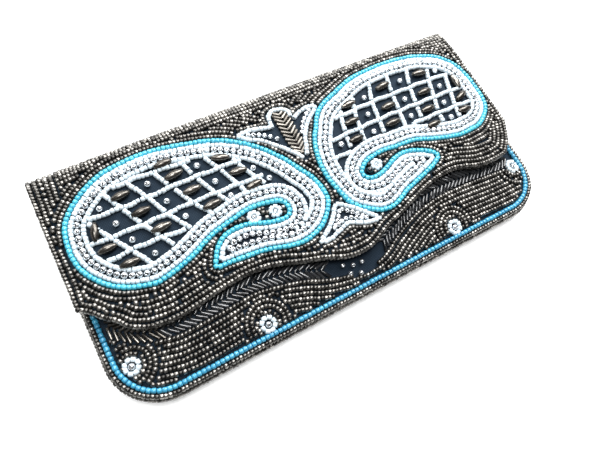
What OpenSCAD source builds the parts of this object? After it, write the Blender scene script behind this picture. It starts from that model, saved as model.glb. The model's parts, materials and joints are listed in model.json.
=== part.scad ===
// Hand-beaded envelope clutch bag, closed and lying on its back.
// The pouch is a back panel and a front panel, each of beads, cloth, board and lining, joined by a
// beaded side strip. The flap is a fourth, crowned panel that folds over from the top edge and is
// held by a magnetic snap. X is the width, +Y is towards the fold, +Z is away from the table.

/* [Overall size] */
// Width of the bag across the front
body_w = 230; // [220:1:245]
// Length from the bottom edge to the fold
body_l = 112; // [108:1:118]
// Thickness of the closed bag at its middle
closed_h = 20; // [19:0.5:24]
// Radius of the two bottom corners
corner_r = 24; // [12:1:30]

/* [Panel layers] */
// Diameter of the small seed beads, which is the thickness of a beaded layer
bead_d = 2; // [1.6:0.1:2.2]
// Thickness of the cloth that the beads are sewn to
cloth_t = 0.5; // [0.3:0.1:0.7]
// Thickness of the stiffening board
board_t = 0.8; // [0.5:0.1:1]
// Thickness of the lining
lining_t = 0.3; // [0.2:0.1:0.4]
// Width of the seam allowance, where the cloth has no board behind it
seam_w = 5; // [4:0.5:8]
// Play between a row of beads and the cloth under it
seat_gap = 0.15; // [0.1:0.05:0.25]
// Play between two layers that lie on each other
layer_gap = 0.1; // [0.08:0.01:0.15]

/* [Crown of the panels] */
// Height of the front panel's edge above the table
front_edge_h = 9.5; // [8.5:0.5:11]
// Space between the front panel and the flap at the middle of the bag
flap_gap = 1; // [0.8:0.1:2]
// Length of the front panel that falls away to the bottom edge
front_fall_l = 36; // [28:1:44]
// Radius of the rolled fold at the top of the flap
fold_r = 8; // [6:0.5:9]
// Slope of the flap where it leaves the rolled fold, in degrees
fold_slope = 15; // [10:1:20]
// Length over which the flap rises from the fold to its full height
fold_rise_l = 17; // [12:1:22]
// Height that the flap's side edges lose against its middle, as a share of its rise
flap_side_drop = 0.45; // [0.35:0.05:0.5]
// Height that the flap's tip loses against its middle, as a share of its rise
flap_tip_drop = 0.15; // [0.05:0.05:0.2]
// Distance from the fold to the mouth of the pouch
mouth_set_back = 12; // [10:0.5:16]

/* [Bead rows] */
// Diameter of the turquoise beads
turquoise_d = 2.2; // [1.8:0.1:2.4]
// Diameter of the round silver beads
silver_d = 2.8; // [2:0.1:2.8]
// Spacing of the round silver beads along a row
silver_pitch = 3.1; // [3:0.1:4]
// Distance from a paisley's turquoise row to its first white row
white_inset = 2.5; // [2.3:0.1:3]
// Distance from a paisley's turquoise row to its row of silver beads
silver_inset = 5; // [4.8:0.1:5.6]
// Distance from a paisley's turquoise row to its second white row
field_inset = 7.6; // [7.4:0.1:8.4]
// Length of a fluted oat bead
oat_l = 7; // [5:0.2:7.4]
// Diameter of a fluted oat bead
oat_d = 2.8; // [2:0.1:3]
// Length of a bugle bead in the leaf
leaf_bugle_l = 3.8; // [3:0.2:4.2]
// Length of a bugle bead in the herringbone
herring_bugle_l = 4.6; // [3.6:0.2:5]
// Diameter of a bugle bead
bugle_d = 1.4; // [1:0.1:1.6]
// Spacing of the bugle beads along the herringbone
herring_pitch = 3.4; // [3.2:0.1:5]
// Distance from the pouch's edge to the middle of its turquoise border
border_inset = 4.2; // [4:0.1:4.6]
// Radius of the ring of beads in a flower
flower_r = 2.7; // [2.6:0.1:3]

/* [Magnetic snap] */
// Diameter of the snap's two discs
snap_d = 14; // [10:1:16]
// Thickness of the socket disc on the pouch
socket_t = 1.45; // [1.3:0.05:1.5]
// Thickness of the stud's plate on the flap
stud_plate_t = 0.5; // [0.4:0.05:0.6]
// Diameter of the stud's nub
nub_d = 6; // [4:0.5:7]
// Play round the nub in its well
nub_play = 0.5; // [0.4:0.1:0.8]
// Diameter of the backing washers
washer_d = 13; // [10:0.5:14]
// Thickness of the backing washers
washer_t = 0.5; // [0.3:0.1:0.6]
// Width of a fixing prong
prong_w = 3; // [2:0.5:3]
// Thickness of a fixing prong
prong_t = 0.5; // [0.4:0.1:0.6]

/* [Hidden] */
$fn = 32;

// The pattern was laid out on a bag of these sizes, and is drawn wider or longer with the bag.
pattern_w = 230;
pattern_l = 112;
half_w = body_w / 2;
half_l = body_l / 2;
board_depth = bead_d + cloth_t + layer_gap;
lining_depth = board_depth + board_t + layer_gap;
panel_t = lining_depth + lining_t;
// The hinge line lies at half the height of the tallest bead, so the opened flap lies flat on the table.
curl_bead_d = 4;
crease_h = (closed_h - bead_d + seat_gap + curl_bead_d) / 2;
flap_rise = closed_h - crease_h;
arc_end = 90 - fold_slope;
arc_y = half_l - fold_r;
back_end_y = arc_y - layer_gap;
crown_start = arc_y + fold_r * cos(arc_end) - fold_rise_l;
crown_bend = tan(fold_slope) / fold_rise_l;
arc_top = flap_rise - tan(fold_slope) * fold_rise_l / 2;
front_top_h = closed_h - panel_t - flap_gap;
mouth_y = half_l - mouth_set_back;
tip_y = -39 * body_l / pattern_l;

function fit(p) = [p[0] * body_w / pattern_w, p[1] * body_l / pattern_l];
function fit_all(points) = [for (p = points) fit(p)];

// Height of the flap's outer face over a point of the plan, right of the rolled fold.
function side_share(x) = 1 - flap_side_drop * pow(min(abs(x) / half_w, 1), 4);
function tip_share(y) = 1 - flap_tip_drop * pow(max(-y, 0) / -tip_y, 2);
function flap_profile(y) =
    y > arc_y + fold_r * cos(arc_end)
        ? arc_top * sin(acos(min((y - arc_y) / fold_r, 1))) / sin(arc_end)
        : flap_rise - crown_bend * pow(max(y - crown_start, 0), 2) / 2;
function flap_z(x, y) = crease_h + flap_profile(y) * side_share(x) * tip_share(y);

// Height of the front panel's outer face over a point of the plan.
function front_z(x, y) =
    front_edge_h + (front_top_h - front_edge_h)
        * (1 - pow(min(abs(x) / half_w, 1), 4))
        * (1 - pow(min(max(-(half_l - front_fall_l) - y, 0) / front_fall_l, 1), 2));

// The flap's lower edge, from left to right, as places that a rule would measure.
flap_edge = [
    [-115, -10], [-110, -12], [-104, -18], [-100, -23], [-94, -27], [-85, -28.7], [-71, -28],
    [-57, -26], [-44, -25.5], [-31, -28.5], [-14, -34], [-5, -37.8], [3, -39], [11, -38],
    [21, -33.5], [38, -28.5], [55, -23.7], [70, -23], [81, -26.3], [92, -27], [101, -26.2],
    [107, -22], [112, -14], [115, -10]
];
function edge_y(x) = lookup(x * pattern_w / body_w, flap_edge) * body_l / pattern_l;

// The two paisleys' turquoise rows, each starting at the tip of its tail.
left_paisley = [
    [-57.5, -17], [-56, -12], [-51, -6.5], [-45, -4.5], [-38, -5], [-29, -8], [-21.5, -9.5],
    [-17.5, -7.5], [-18.5, -2], [-23, 0.5], [-31, 1.5], [-41, 0], [-53, -2.5], [-69, -9],
    [-83.5, -11.5], [-95.5, -7], [-104.5, 2], [-108.5, 12], [-108, 22], [-101, 34.5], [-87.5, 43],
    [-72, 46], [-56, 45], [-40, 41], [-24, 34], [-12.5, 23], [-3.5, 10], [1.5, -3], [0, -12],
    [-6.5, -19], [-15.5, -22.5], [-23, -22.5], [-31, -20], [-45, -17.5]
];
right_paisley = [
    [64, -13], [59, -7.5], [50.5, -4], [41.5, -5], [32.5, -8.7], [26.5, -9], [23.5, -6],
    [25.5, -2.3], [33, 0.8], [46, 0.5], [58, -0.5], [71.5, -4.8], [84, -7.3], [97, -6],
    [106, -1], [111, 6.5], [112, 19], [110, 29.5], [103.5, 37], [93.5, 42.5], [81, 46],
    [64, 46.5], [49, 45], [33, 39.5], [21.5, 34], [12.5, 22.5], [8, 12.5], [6.5, 3], [7.5, -6],
    [10.5, -16], [17.5, -22.5], [26, -26], [35, -24], [46, -20], [57, -16.5]
];
// Flowers of the front, each against the turquoise border.
flower_in = border_inset + turquoise_d / 2 + flower_r + bead_d / 2 + 0.3;
side_flower_in = flower_in + 1.2;
left_flower_y = fit([0, -36.5])[1];
right_flower_y = fit([0, -33])[1];
flowers = [
    [-side_x(left_flower_y) + side_flower_in, left_flower_y], [fit([-48.3, 0])[0], -half_l + flower_in],
    [fit([55, 0])[0], -half_l + flower_in], [side_x(right_flower_y) - side_flower_in, right_flower_y]
];
leaf_line = [[-5, 34], [-4.5, 38.5], [-3, 41.5], [1, 43], [4.9, 41.6], [7, 38.5], [6.6, 34.5]];
left_petal_line = [[-6.5, 34.8], [-14.5, 36.5], [-22, 36.3], [-17.5, 32.3], [-12.5, 29.5], [-7.5, 25]];
right_petal_line = [[8, 34.8], [12, 36.5], [19.5, 36.6], [14, 31.5], [11, 28]];
tail_line = [
    [3.5, -14], [-2.5, -20], [-11.5, -26.3], [-3, -25.6], [3.5, -24], [10, -26], [16.5, -27], [10, -20]
];
// Bare cloth round the leaf and round the tail motif, and its clearance to the gunmetal beads.
motif_play = 0.7;
middle_cut = [
    [-25, 38], [-6.8, 36.6], [-6, 39.5], [-4.4, 43], [1, 44.6], [6.2, 43], [8, 39.5], [8, 38],
    [22, 38], [16, 31.5], [10, 25.5], [3.5, 12], [1, 12], [-6, 21.5], [-13.5, 27.7], [-20.5, 33]
];
tail_cut = [[3.5, -11.5], [21, -28.5], [9.5, -27.8], [3.5, -25.8], [-3.5, -27.3], [-15, -27.6]];

left_oats = [
    [-80.8, 30], [-56.7, 29], [-36.5, 28], [-75.7, 19], [-51.7, 19.5], [-31, 20.5], [-94.7, 10.3],
    [-71, 9], [-48, 10], [-25.5, 11.8], [-86.8, 2]
];
left_rounds = [
    [-90.8, 28], [-69, 30], [-43, 29.6], [-87.8, 19.2], [-64.4, 19.4], [-40.3, 18.7],
    [-21.7, 17.6], [-84, 9.8], [-60, 10], [-38.5, 11], [-17.5, 11.8], [-81.2, 0.6]
];
right_oats = [
    [39.2, 30], [59, 33.7], [82.8, 32.7], [33.1, 20.3], [55.9, 21.2], [79.5, 21.6], [29, 11.2],
    [52, 12], [74.8, 11.2], [98.2, 11.6], [75.1, 4.9], [93.5, 4.7]
];
right_rounds = [
    [46, 29.7], [70.2, 32], [93, 30.2], [43.3, 20.7], [66.4, 21.8], [90.5, 21.9], [19.8, 11.5],
    [41.4, 12], [64, 12.5], [87, 11.7], [84.7, 4]
];
// Each trellis has level rows at these heights, given as height, left end and right end.
left_levels = [[34.2, -87, -43], [25.2, -97, -25], [14.6, -99, -20], [5.4, -95, -65]];
right_levels = [[26.8, 27, 101], [16.8, 21, 103], [8, 20, 101]];
// The slanting rows cross this height at these places.
slant_level = 20;
left_slant_x = [-93.8, -81.8, -70.5, -58.5, -46.3, -36, -25.6];
right_slant_x = [27.6, 38.3, 49.6, 61.2, 72.8, 84.3, 96];
// Places of the loose silver beads, from the lowest point of the bare almond.
almond_beads = [[-7, 6.2], [-3.5, 4.2], [1.1, 5], [6, 3.8], [-1.3, 2]];
snap_at = [3, -22];

// Catmull-Rom curve through the points, with so many steps for each of them.
function knot(points, i, closed) =
    closed ? points[(i + len(points)) % len(points)] : points[max(0, min(len(points) - 1, i))];
function blend_point(a, b, c, d, t) =
    0.5 * (2 * b + (c - a) * t + (2 * a - 5 * b + 4 * c - d) * t * t
        + (3 * b - a - 3 * c + d) * t * t * t);
function smooth(points, steps, closed) =
    let (spans = closed ? len(points) : len(points) - 1)
    concat(
        [for (i = [0 : spans - 1], s = [0 : steps - 1])
            blend_point(knot(points, i - 1, closed), knot(points, i, closed),
                knot(points, i + 1, closed), knot(points, i + 2, closed), s / steps)],
        closed ? [] : [points[len(points) - 1]]
    );
function unit(v) = v / max(norm(v), 0.0001);
function left_normal(points, i, closed) =
    let (d = unit(knot(points, i + 1, closed) - knot(points, i - 1, closed))) [-d[1], d[0]];
function turn_area(points) =
    sum([for (i = [0 : len(points) - 1])
        let (a = points[i], b = points[(i + 1) % len(points)]) a[0] * b[1] - a[1] * b[0]]);
function sum(values, i = 0) = i >= len(values) ? 0 : values[i] + sum(values, i + 1);
// A closed curve moved inwards, without the points that have too little room beyond them in a narrow tail.
function inset(points, by, room = 0) =
    let (inward = turn_area(points) > 0 ? 1 : -1)
    [for (i = [0 : len(points) - 1])
        let (
            way = inward * left_normal(points, i, true),
            p = points[i] + by * way,
            past = p + room * way
        )
        if (min([for (q = points) min(norm(p - q) / abs(by), norm(past - q) / abs(by + room))]) > 0.97) p];
// Points at an even spacing along a curve.
function run_to(points, closed) =
    let (n = closed ? len(points) : len(points) - 1)
    [for (i = 0, s = 0; i <= n;
        s = s + norm(knot(points, i + 1, closed) - knot(points, i, closed)), i = i + 1) s];
function spaced(points, pitch, closed) =
    let (
        runs = run_to(points, closed),
        total = runs[len(runs) - 1],
        count = floor(total / pitch),
        stations = [for (i = [0 : len(runs) - 1]) [runs[i], i]]
    )
    [for (k = [0 : count - 1])
        let (
            at = lookup((k + 0.5) * total / count, stations),
            i = floor(at)
        )
        knot(points, i, closed) * (1 - at + i) + knot(points, i + 1, closed) * (at - i)];
// The places that lie at least so far from every place before them.
function apart(places, gap) =
    [for (i = [0 : len(places) - 1])
        if (i == 0 || min([for (j = [0 : i - 1]) norm(places[i] - places[j])]) > gap) places[i]];

// How far a place lies from a closed curve's nearest stretch.
function row_distance(p, row) = min([for (i = [0 : len(row) - 1])
    let (
        a = row[i],
        d = row[(i + 1) % len(row)] - a,
        t = max(0, min(1, (p - a) * d / max(d * d, 0.0001)))
    )
    norm(p - a - t * d)]);

// Two triangles for each cell of a grid of points, rows by columns.
function grid_faces(rows, cols, base, flip) =
    [for (r = [0 : rows - 2], c = [0 : cols - 2])
        let (a = base + r * cols + c, b = a + 1, d = a + cols, e = d + 1)
        each (flip ? [[a, b, e], [a, e, d]] : [[a, e, b], [a, d, e]])];
function rim_loop(rows, cols) = concat(
    [for (c = [0 : cols - 1]) c],
    [for (r = [1 : rows - 1]) r * cols + cols - 1],
    [for (c = [cols - 2 : -1 : 0]) (rows - 1) * cols + c],
    [for (r = [rows - 2 : -1 : 1]) r * cols]
);
// A closed solid between an upper and a lower grid of points.
module slab(upper, lower) {
    rows = len(upper);
    cols = len(upper[0]);
    count = rows * cols;
    rim = rim_loop(rows, cols);
    polyhedron(
        points = concat([for (r = upper) each r], [for (r = lower) each r]),
        faces = concat(
            grid_faces(rows, cols, 0, true),
            grid_faces(rows, cols, count, false),
            [for (i = [0 : len(rim) - 1])
                let (a = rim[i], b = rim[(i + 1) % len(rim)])
                each [[a, b + count, b], [a, a + count, b + count]]]
        ),
        convexity = 6
    );
}
// A row of beads as one strip that follows a curved face.
module strip(points, width, height, face, closed) {
    n = len(points);
    ring = [for (i = [0 : n - 1])
        let (
            p = points[i],
            side = left_normal(points, i, closed) * width / 2,
            a = p + side,
            b = p - side,
            za = face(a[0], a[1]),
            zb = face(b[0], b[1])
        )
        [[a[0], a[1], za], [b[0], b[1], zb], [b[0], b[1], zb + height], [a[0], a[1], za + height]]];
    spans = closed ? n : n - 1;
    polyhedron(
        points = [for (r = ring) each r],
        faces = concat(
            [for (i = [0 : spans - 1], k = [0 : 3])
                let (a = i * 4 + k, b = i * 4 + (k + 1) % 4, j = (i + 1) % n,
                    c = j * 4 + (k + 1) % 4, d = j * 4 + k)
                each [[a, b, c], [a, c, d]]],
            closed ? [] : [[0, 2, 1], [0, 3, 2],
                [n * 4 - 4, n * 4 - 3, n * 4 - 2], [n * 4 - 4, n * 4 - 2, n * 4 - 1]]
        ),
        convexity = 6
    );
}

// Columns of the grids, closer together towards the sides.
columns = [
    -1, -0.975, -0.94, -0.89, -0.82, -0.73, -0.625, -0.505, -0.385, -0.27, -0.157, -0.045,
    0.026, 0.096, 0.183, 0.28, 0.385, 0.505, 0.61, 0.705, 0.8, 0.88, 0.935, 0.975, 1
];
function grid_x(set_in) = [for (c = columns) c * (half_w - set_in)];

// One point of the flap's section: plan distance, rise above the crease and the outward normal.
arc_steps = [0, 22, 44, 60, arc_end];
function arc_point(angle) =
    [arc_y + fold_r * cos(angle), arc_top * sin(angle) / sin(arc_end), cos(angle), sin(angle)];
function crown_point(y) =
    let (slope = crown_bend * max(y - crown_start, 0), long = sqrt(1 + slope * slope))
    [y, flap_profile(y), slope / long, 1 / long];
function flap_section(x, low_y) = concat(
    [for (a = arc_steps) arc_point(a)],
    [for (s = [0.45, 1]) crown_point(arc_y + fold_r * cos(arc_end) - fold_rise_l * s)],
    [for (s = [0.3, 0.55, 0.8, 1]) crown_point(crown_start + (low_y - crown_start) * s)]
);
// The flap's face at a depth below the bead tips, from the given row of the section on.
function flap_face(depth, set_in, first) =
    [for (r = [first : len(flap_section(0, tip_y)) - 1])
        [for (x = grid_x(set_in))
            let (s = flap_section(x, edge_y(x) + set_in)[r])
            [x, s[0] - s[2] * depth,
                crease_h + s[1] * side_share(x) * tip_share(s[0]) - s[3] * depth]]];
module flap_layer(top, thick, set_in, first) {
    slab(flap_face(top, set_in, first), flap_face(top + thick, set_in, first));
}

// The pouch's outline moved inwards: its lower end over a place across the width.
function bottom_y(x, set_in) =
    let (r = corner_r - set_in, over = min(max(abs(x) - (half_w - corner_r), 0), r))
    -half_l + corner_r - sqrt(max(r * r - over * over, 0));
// Half the pouch's width at a height, less where its corners are round.
function side_x(y) =
    half_w - corner_r + sqrt(corner_r * corner_r - pow(max(0, corner_r - half_l - y), 2));
function front_face(depth, set_in, top_y) =
    [for (s = [1, 0.8, 0.6, 0.45, 0.36, 0.28, 0.2, 0.13, 0.06, 0])
        [for (x = grid_x(set_in))
            let (low = bottom_y(x, set_in), y = low + (top_y(x) - low) * s)
            [x, y, front_z(x, y) - depth]]];
module front_layer(top, thick, set_in, top_y) {
    slab(front_face(top, set_in, top_y), front_face(top + thick, set_in, top_y));
}
module outline(set_in, end_y) {
    r = corner_r - set_in;
    w = half_w - set_in;
    difference() {
        union() {
            translate([-w, -half_l + corner_r]) square([2 * w, end_y + half_l - corner_r]);
            translate([-w + r, -half_l + set_in]) square([2 * (w - r), r + 1]);
            for (s = [-1, 1]) translate([s * (w - r), -half_l + corner_r]) circle(r, $fn = 64);
        }
        translate([-half_w, end_y]) square([body_w, body_l]);
    }
}
// Stations along the pouch's two sides and bottom, from the left end of the mouth to the right one.
function round_edge(set_in, end_y) =
    let (r = corner_r - set_in, cx = half_w - corner_r, cy = -half_l + corner_r)
    concat(
        [for (s = [0 : 3]) [-half_w + set_in, end_y + (cy - end_y) * s / 4]],
        [for (a = [180 : 15 : 270]) [-cx + r * cos(a), cy + r * sin(a)]],
        [for (s = [1 : 7]) [-cx + 2 * cx * s / 8, -half_l + set_in]],
        [for (a = [270 : 15 : 360]) [cx + r * cos(a), cy + r * sin(a)]],
        [for (s = [1 : 4]) [half_w - set_in, cy + (end_y - cy) * s / 4]]
    );
// A wall along that edge, between two insets and two heights.
module edge_band(from_in, to_in, end_y, low, high) {
    a = round_edge(from_in, end_y);
    b = round_edge(to_in, end_y);
    slab([[for (p = b) [p[0], p[1], high(p[0], p[1])]], [for (p = a) [p[0], p[1], high(p[0], p[1])]]],
        [[for (p = b) [p[0], p[1], low(p[0], p[1])]], [for (p = a) [p[0], p[1], low(p[0], p[1])]]]);
}

// Stack of the back panel, from the table up.
back_cloth_z = bead_d + layer_gap;
back_board_z = back_cloth_z + cloth_t + layer_gap;
back_lining_z = back_board_z + board_t + layer_gap;
side_top_z = front_edge_h - bead_d - layer_gap;

module back_beads() {
    color("#3a342d") linear_extrude(bead_d) outline(0, back_end_y);
}
module back_cloth() {
    color("#2c3842") translate([0, 0, back_cloth_z])
        linear_extrude(cloth_t) outline(bead_d + layer_gap, back_end_y);
}
module back_board() {
    color("#b9b2a0") translate([0, 0, back_board_z])
        linear_extrude(board_t) outline(seam_w, back_end_y - seam_w / 2);
}
module back_lining() {
    color("#1d1f22") translate([0, 0, back_lining_z])
        linear_extrude(lining_t) outline(seam_w - 1, back_end_y);
}

front_bead_in = border_inset + turquoise_d / 2 + layer_gap;
herring_drop = 3.2;
herring_w = 3.4;
almond_at = 2.5;
almond_half_w = 15;
almond_rise = 8;
// Row of gunmetal beads left between the almond and the border.
almond_row = 1.75;
almond_low_y = -half_l + front_bead_in + almond_row;
function front_bead_top(x) =
    let (
        low_edge = min([for (side = [-1, 0, 1]) edge_y(x + side * herring_bugle_l / 2)]),
        along = low_edge - herring_drop - herring_w - 0.3,
        off = (x * pattern_w / body_w - almond_at) / almond_half_w,
        almond = almond_low_y + almond_rise * off * off
    )
    abs(off) < 1 ? min(along, almond) : along;
module front_beads() {
    color("#3a342d") difference() {
        front_layer(0, bead_d - seat_gap, front_bead_in, function (x) front_bead_top(x));
        for (f = flowers) translate([f[0], f[1], 0]) cylinder(closed_h, r = flower_r + bead_d / 2 + 0.3);
    }
}
module front_cloth() {
    color("#2c3842") difference() {
        front_layer(bead_d, cloth_t, bead_d + layer_gap, function (x) mouth_y);
        snap_slots(front_z(snap_x, snap_y) - bead_d);
    }
}
module front_board() {
    color("#b9b2a0") difference() {
        front_layer(board_depth, board_t, seam_w, function (x) mouth_y - 1);
        translate([snap_x, snap_y, 0]) cylinder(closed_h, d = washer_d + 1);
    }
}
module front_lining() {
    color("#1d1f22")
        front_layer(lining_depth, lining_t, seam_w - 1, function (x) mouth_y);
}
module front_edge_beads() {
    color("#3a342d") edge_band(0, border_inset - turquoise_d / 2 - layer_gap, mouth_y,
        function (x, y) front_z(x, y) - bead_d + seat_gap, function (x, y) front_z(x, y));
}
module side_beads() {
    color("#3a342d") edge_band(0, bead_d, back_end_y, function (x, y) bead_d + layer_gap,
        function (x, y) side_top_z);
}
module side_cloth() {
    color("#2c3842") edge_band(bead_d + layer_gap, bead_d + layer_gap + cloth_t, back_end_y,
        function (x, y) back_board_z, function (x, y) side_top_z - cloth_t);
}
module front_border() {
    color("#4fc3e0") edge_band(border_inset - turquoise_d / 2, border_inset + turquoise_d / 2, mouth_y,
        function (x, y) front_z(x, y) - bead_d + seat_gap, function (x, y) front_z(x, y));
}
// One flower: a ring of white beads round a silver one.
module flower(p, ring_r, petals, face) {
    if (ring_r > bead_d * 1.02) bead_seat(p, bead_d / 2, face) sphere(d = bead_d);
    for (i = [0 : petals - 1]) {
        q = p + ring_r * [cos(i * 360 / petals), sin(i * 360 / petals)];
        bead_seat(q, bead_d / 2, face) sphere(d = bead_d);
    }
}
// Places a bead so that it stands on the cloth under a face of bead tips.
module bead_seat(p, half, face) {
    translate([p[0], p[1], face(p[0], p[1]) - bead_d + seat_gap + half]) children();
}
module front_flowers() {
    color("#e8f0f4") for (f = flowers) flower(f, flower_r, 8, function (x, y) front_z(x, y));
}
module front_herringbone() {
    start = fit([-103, 0])[0];
    end = half_w - side_flower_in - flower_r - bead_d / 2 - herring_bugle_l / 2;
    count = floor((end - start) / herring_pitch);
    almond_x = fit([almond_at, 0])[0];
    color("#23262a") for (i = [0 : count]) {
        x = start + (end - start) * i / count;
        y = edge_y(x) - herring_drop;
        lean = x < almond_x ? 1 : -1;
        if (abs(x - almond_x) > fit([almond_half_w, 0])[0] + 3)
            for (arm = [-1, 1]) {
                q = [x, y + arm * herring_w / 2];
                bead_seat(q, bugle_d / 2 + 0.1, function (x, y) front_z(x, y))
                    rotate([0, 90, lean * arm * 28]) cylinder(herring_bugle_l * 0.7, d = bugle_d, center = true);
            }
    }
}
module front_almond_beads() {
    color("#c8ccd0") for (p = almond_beads)
        bead_seat([fit([almond_at, 0])[0] + p[0], almond_low_y + p[1]], bead_d / 2,
            function (x, y) front_z(x, y)) sphere(d = bead_d);
}

// Lower half of the rolled fold: a quarter roll up from the table, then a straight wall to the crease.
module fold_layer(depth, thick, set_in) {
    translate([-half_w + set_in, 0, 0]) rotate([90, 0, 90]) linear_extrude(body_w - 2 * set_in) {
        difference() {
            translate([arc_y, fold_r]) circle(fold_r - depth, $fn = 64);
            translate([arc_y, fold_r]) circle(fold_r - depth - thick, $fn = 64);
            translate([arc_y - fold_r, 0]) square([fold_r, 2 * fold_r]);
            translate([arc_y - fold_r, fold_r]) square([3 * fold_r, fold_r]);
        }
        translate([half_l - depth - thick, fold_r]) square([thick, crease_h - fold_r]);
    }
}
module fold_beads() {
    color("#3a342d") fold_layer(0, bead_d, 0);
}
module fold_cloth() {
    color("#2c3842") fold_layer(bead_d + layer_gap, cloth_t, 0.3);
}
module fold_lining() {
    color("#1d1f22") fold_layer(lining_depth, lining_t, 1.5);
}

function outline_row(points) = smooth(fit_all(points), 2, true);
module cut_of(points, by) {
    linear_extrude(closed_h * 2) polygon(inset(points, -by));
}
module flap_beads() {
    color("#3a342d") difference() {
        flap_layer(0, bead_d - seat_gap, 0, 0);
        cut_of(outline_row(left_paisley), turquoise_d / 2 + 0.2);
        cut_of(outline_row(right_paisley), turquoise_d / 2 + 0.2);
        for (cut = [middle_cut, tail_cut])
            linear_extrude(closed_h * 2) offset(delta = motif_play) polygon(fit_all(cut));
        curl_cuts();
    }
}
module flap_cloth() {
    color("#2c3842") flap_layer(bead_d, cloth_t, 0.3, 0);
}
module flap_board() {
    color("#b9b2a0") difference() {
        flap_layer(board_depth, board_t, seam_w - 1, 4);
        translate([snap_x, snap_y, 0]) cylinder(closed_h * 2, d = washer_d + 1);
    }
}
module flap_lining() {
    color("#1d1f22") difference() {
        flap_layer(lining_depth, lining_t, 1.5, 0);
        snap_slots(flap_z(snap_x, snap_y) - panel_t);
    }
}

// Width of a strip that stands for a row of white beads, whose round sides leave it some play.
white_row_w = bead_d - 0.2;
// Room between the two sides of such a row where a tail brings them together.
row_room = white_row_w / 2 + 0.15;
function flap_floor(x, y) = flap_z(x, y) - bead_d + seat_gap;
module flap_row(points, width, closed) {
    strip(points, width, bead_d - seat_gap, function (x, y) flap_floor(x, y), closed);
}
module paisley_outline(points) {
    color("#5cd3e8") flap_row(outline_row(points), turquoise_d, true);
}
module paisley_outer_row(points) {
    color("#e8f0f4") flap_row(inset(outline_row(points), white_inset, row_room), white_row_w, true);
}
module paisley_silver(points) {
    line = smooth(fit_all(points), 4, true);
    places = apart(spaced(inset(line, silver_inset), silver_pitch, true), silver_d + 0.1);
    inner = inset(outline_row(points), field_inset, row_room);
    color("#c8ccd0") for (p = places)
        if (row_distance(p, inner) > (silver_d + white_row_w) / 2)
            bead_seat(p, silver_d / 2, function (x, y) flap_z(x, y)) sphere(d = silver_d);
}
module paisley_inner_row(points) {
    color("#e8f0f4") flap_row(inset(outline_row(points), field_inset, row_room), white_row_w, true);
}
module left_paisley_outline() { paisley_outline(left_paisley); }
module left_paisley_outer_row() { paisley_outer_row(left_paisley); }
module left_paisley_silver() { paisley_silver(left_paisley); }
module left_paisley_inner_row() { paisley_inner_row(left_paisley); }
module right_paisley_outline() { paisley_outline(right_paisley); }
module right_paisley_outer_row() { paisley_outer_row(right_paisley); }
module right_paisley_silver() { paisley_silver(right_paisley); }
module right_paisley_inner_row() { paisley_inner_row(right_paisley); }

// Level rows of a trellis, with short slanting rows between them, inside a paisley's second white row.
// A slanting row shifts sideways by this share of its height, and ends clear of the level rows.
slant = 0.42;
slant_trim = (white_row_w / 2 + 0.25) * sqrt(1 + slant * slant) + white_row_w / 2 * slant;
module trellis(points, levels, slant_x, lean) {
    color("#e8f0f4") intersection() {
        linear_extrude(closed_h * 2) polygon(inset(outline_row(points), field_inset + bead_d / 2 + 0.2));
        trellis_rows(levels, slant_x, lean);
    }
}
module trellis_rows(levels, slant_x, lean) {
    union() {
        for (l = levels) {
            a = fit([l[1], l[0]]);
            b = fit([l[2], l[0]]);
            flap_row([for (s = [0 : 5]) a + (b - a) * s / 5], white_row_w, false);
        }
        for (i = [0 : len(levels) - 2], x = slant_x) {
            high = levels[i];
            low = levels[i + 1];
            top = [x - lean * slant * (high[0] - slant_level), high[0]];
            foot = [x - lean * slant * (low[0] - slant_level), low[0]];
            keep = top[0] > high[1] + 1 && top[0] < high[2] - 1 && foot[0] > low[1] + 1 && foot[0] < low[2] - 1;
            trim = slant_trim * unit(fit(foot) - fit(top));
            a = fit(top) + trim;
            b = fit(foot) - trim;
            if (keep) flap_row([for (s = [0 : 2]) a + (b - a) * s / 2], white_row_w, false);
        }
    }
}
module left_trellis() { trellis(left_paisley, left_levels, left_slant_x, 1); }
module right_trellis() { trellis(right_paisley, right_levels, right_slant_x, -1); }

// A fluted oat bead, as its outer spindle.
module oat(p) {
    r = oat_d / 2;
    bead_seat(p, r, function (x, y) flap_z(x, y)) rotate([0, 90, 0])
        rotate_extrude() polygon([
            [0, -oat_l / 2], [r * 0.4, -oat_l / 2], [r * 0.85, -oat_l / 4], [r, 0],
            [r * 0.85, oat_l / 4], [r * 0.4, oat_l / 2], [0, oat_l / 2]
        ]);
}
module oats(points) {
    color("#6a6358") for (p = fit_all(points)) oat(p);
}
module rounds(points) {
    color("#c8ccd0") for (p = fit_all(points))
        bead_seat(p, silver_d / 2, function (x, y) flap_z(x, y)) sphere(d = silver_d);
}
module left_oat_beads() { oats(left_oats); }
module left_round_beads() { rounds(left_rounds); }
module right_oat_beads() { oats(right_oats); }
module right_round_beads() { rounds(right_rounds); }

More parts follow.
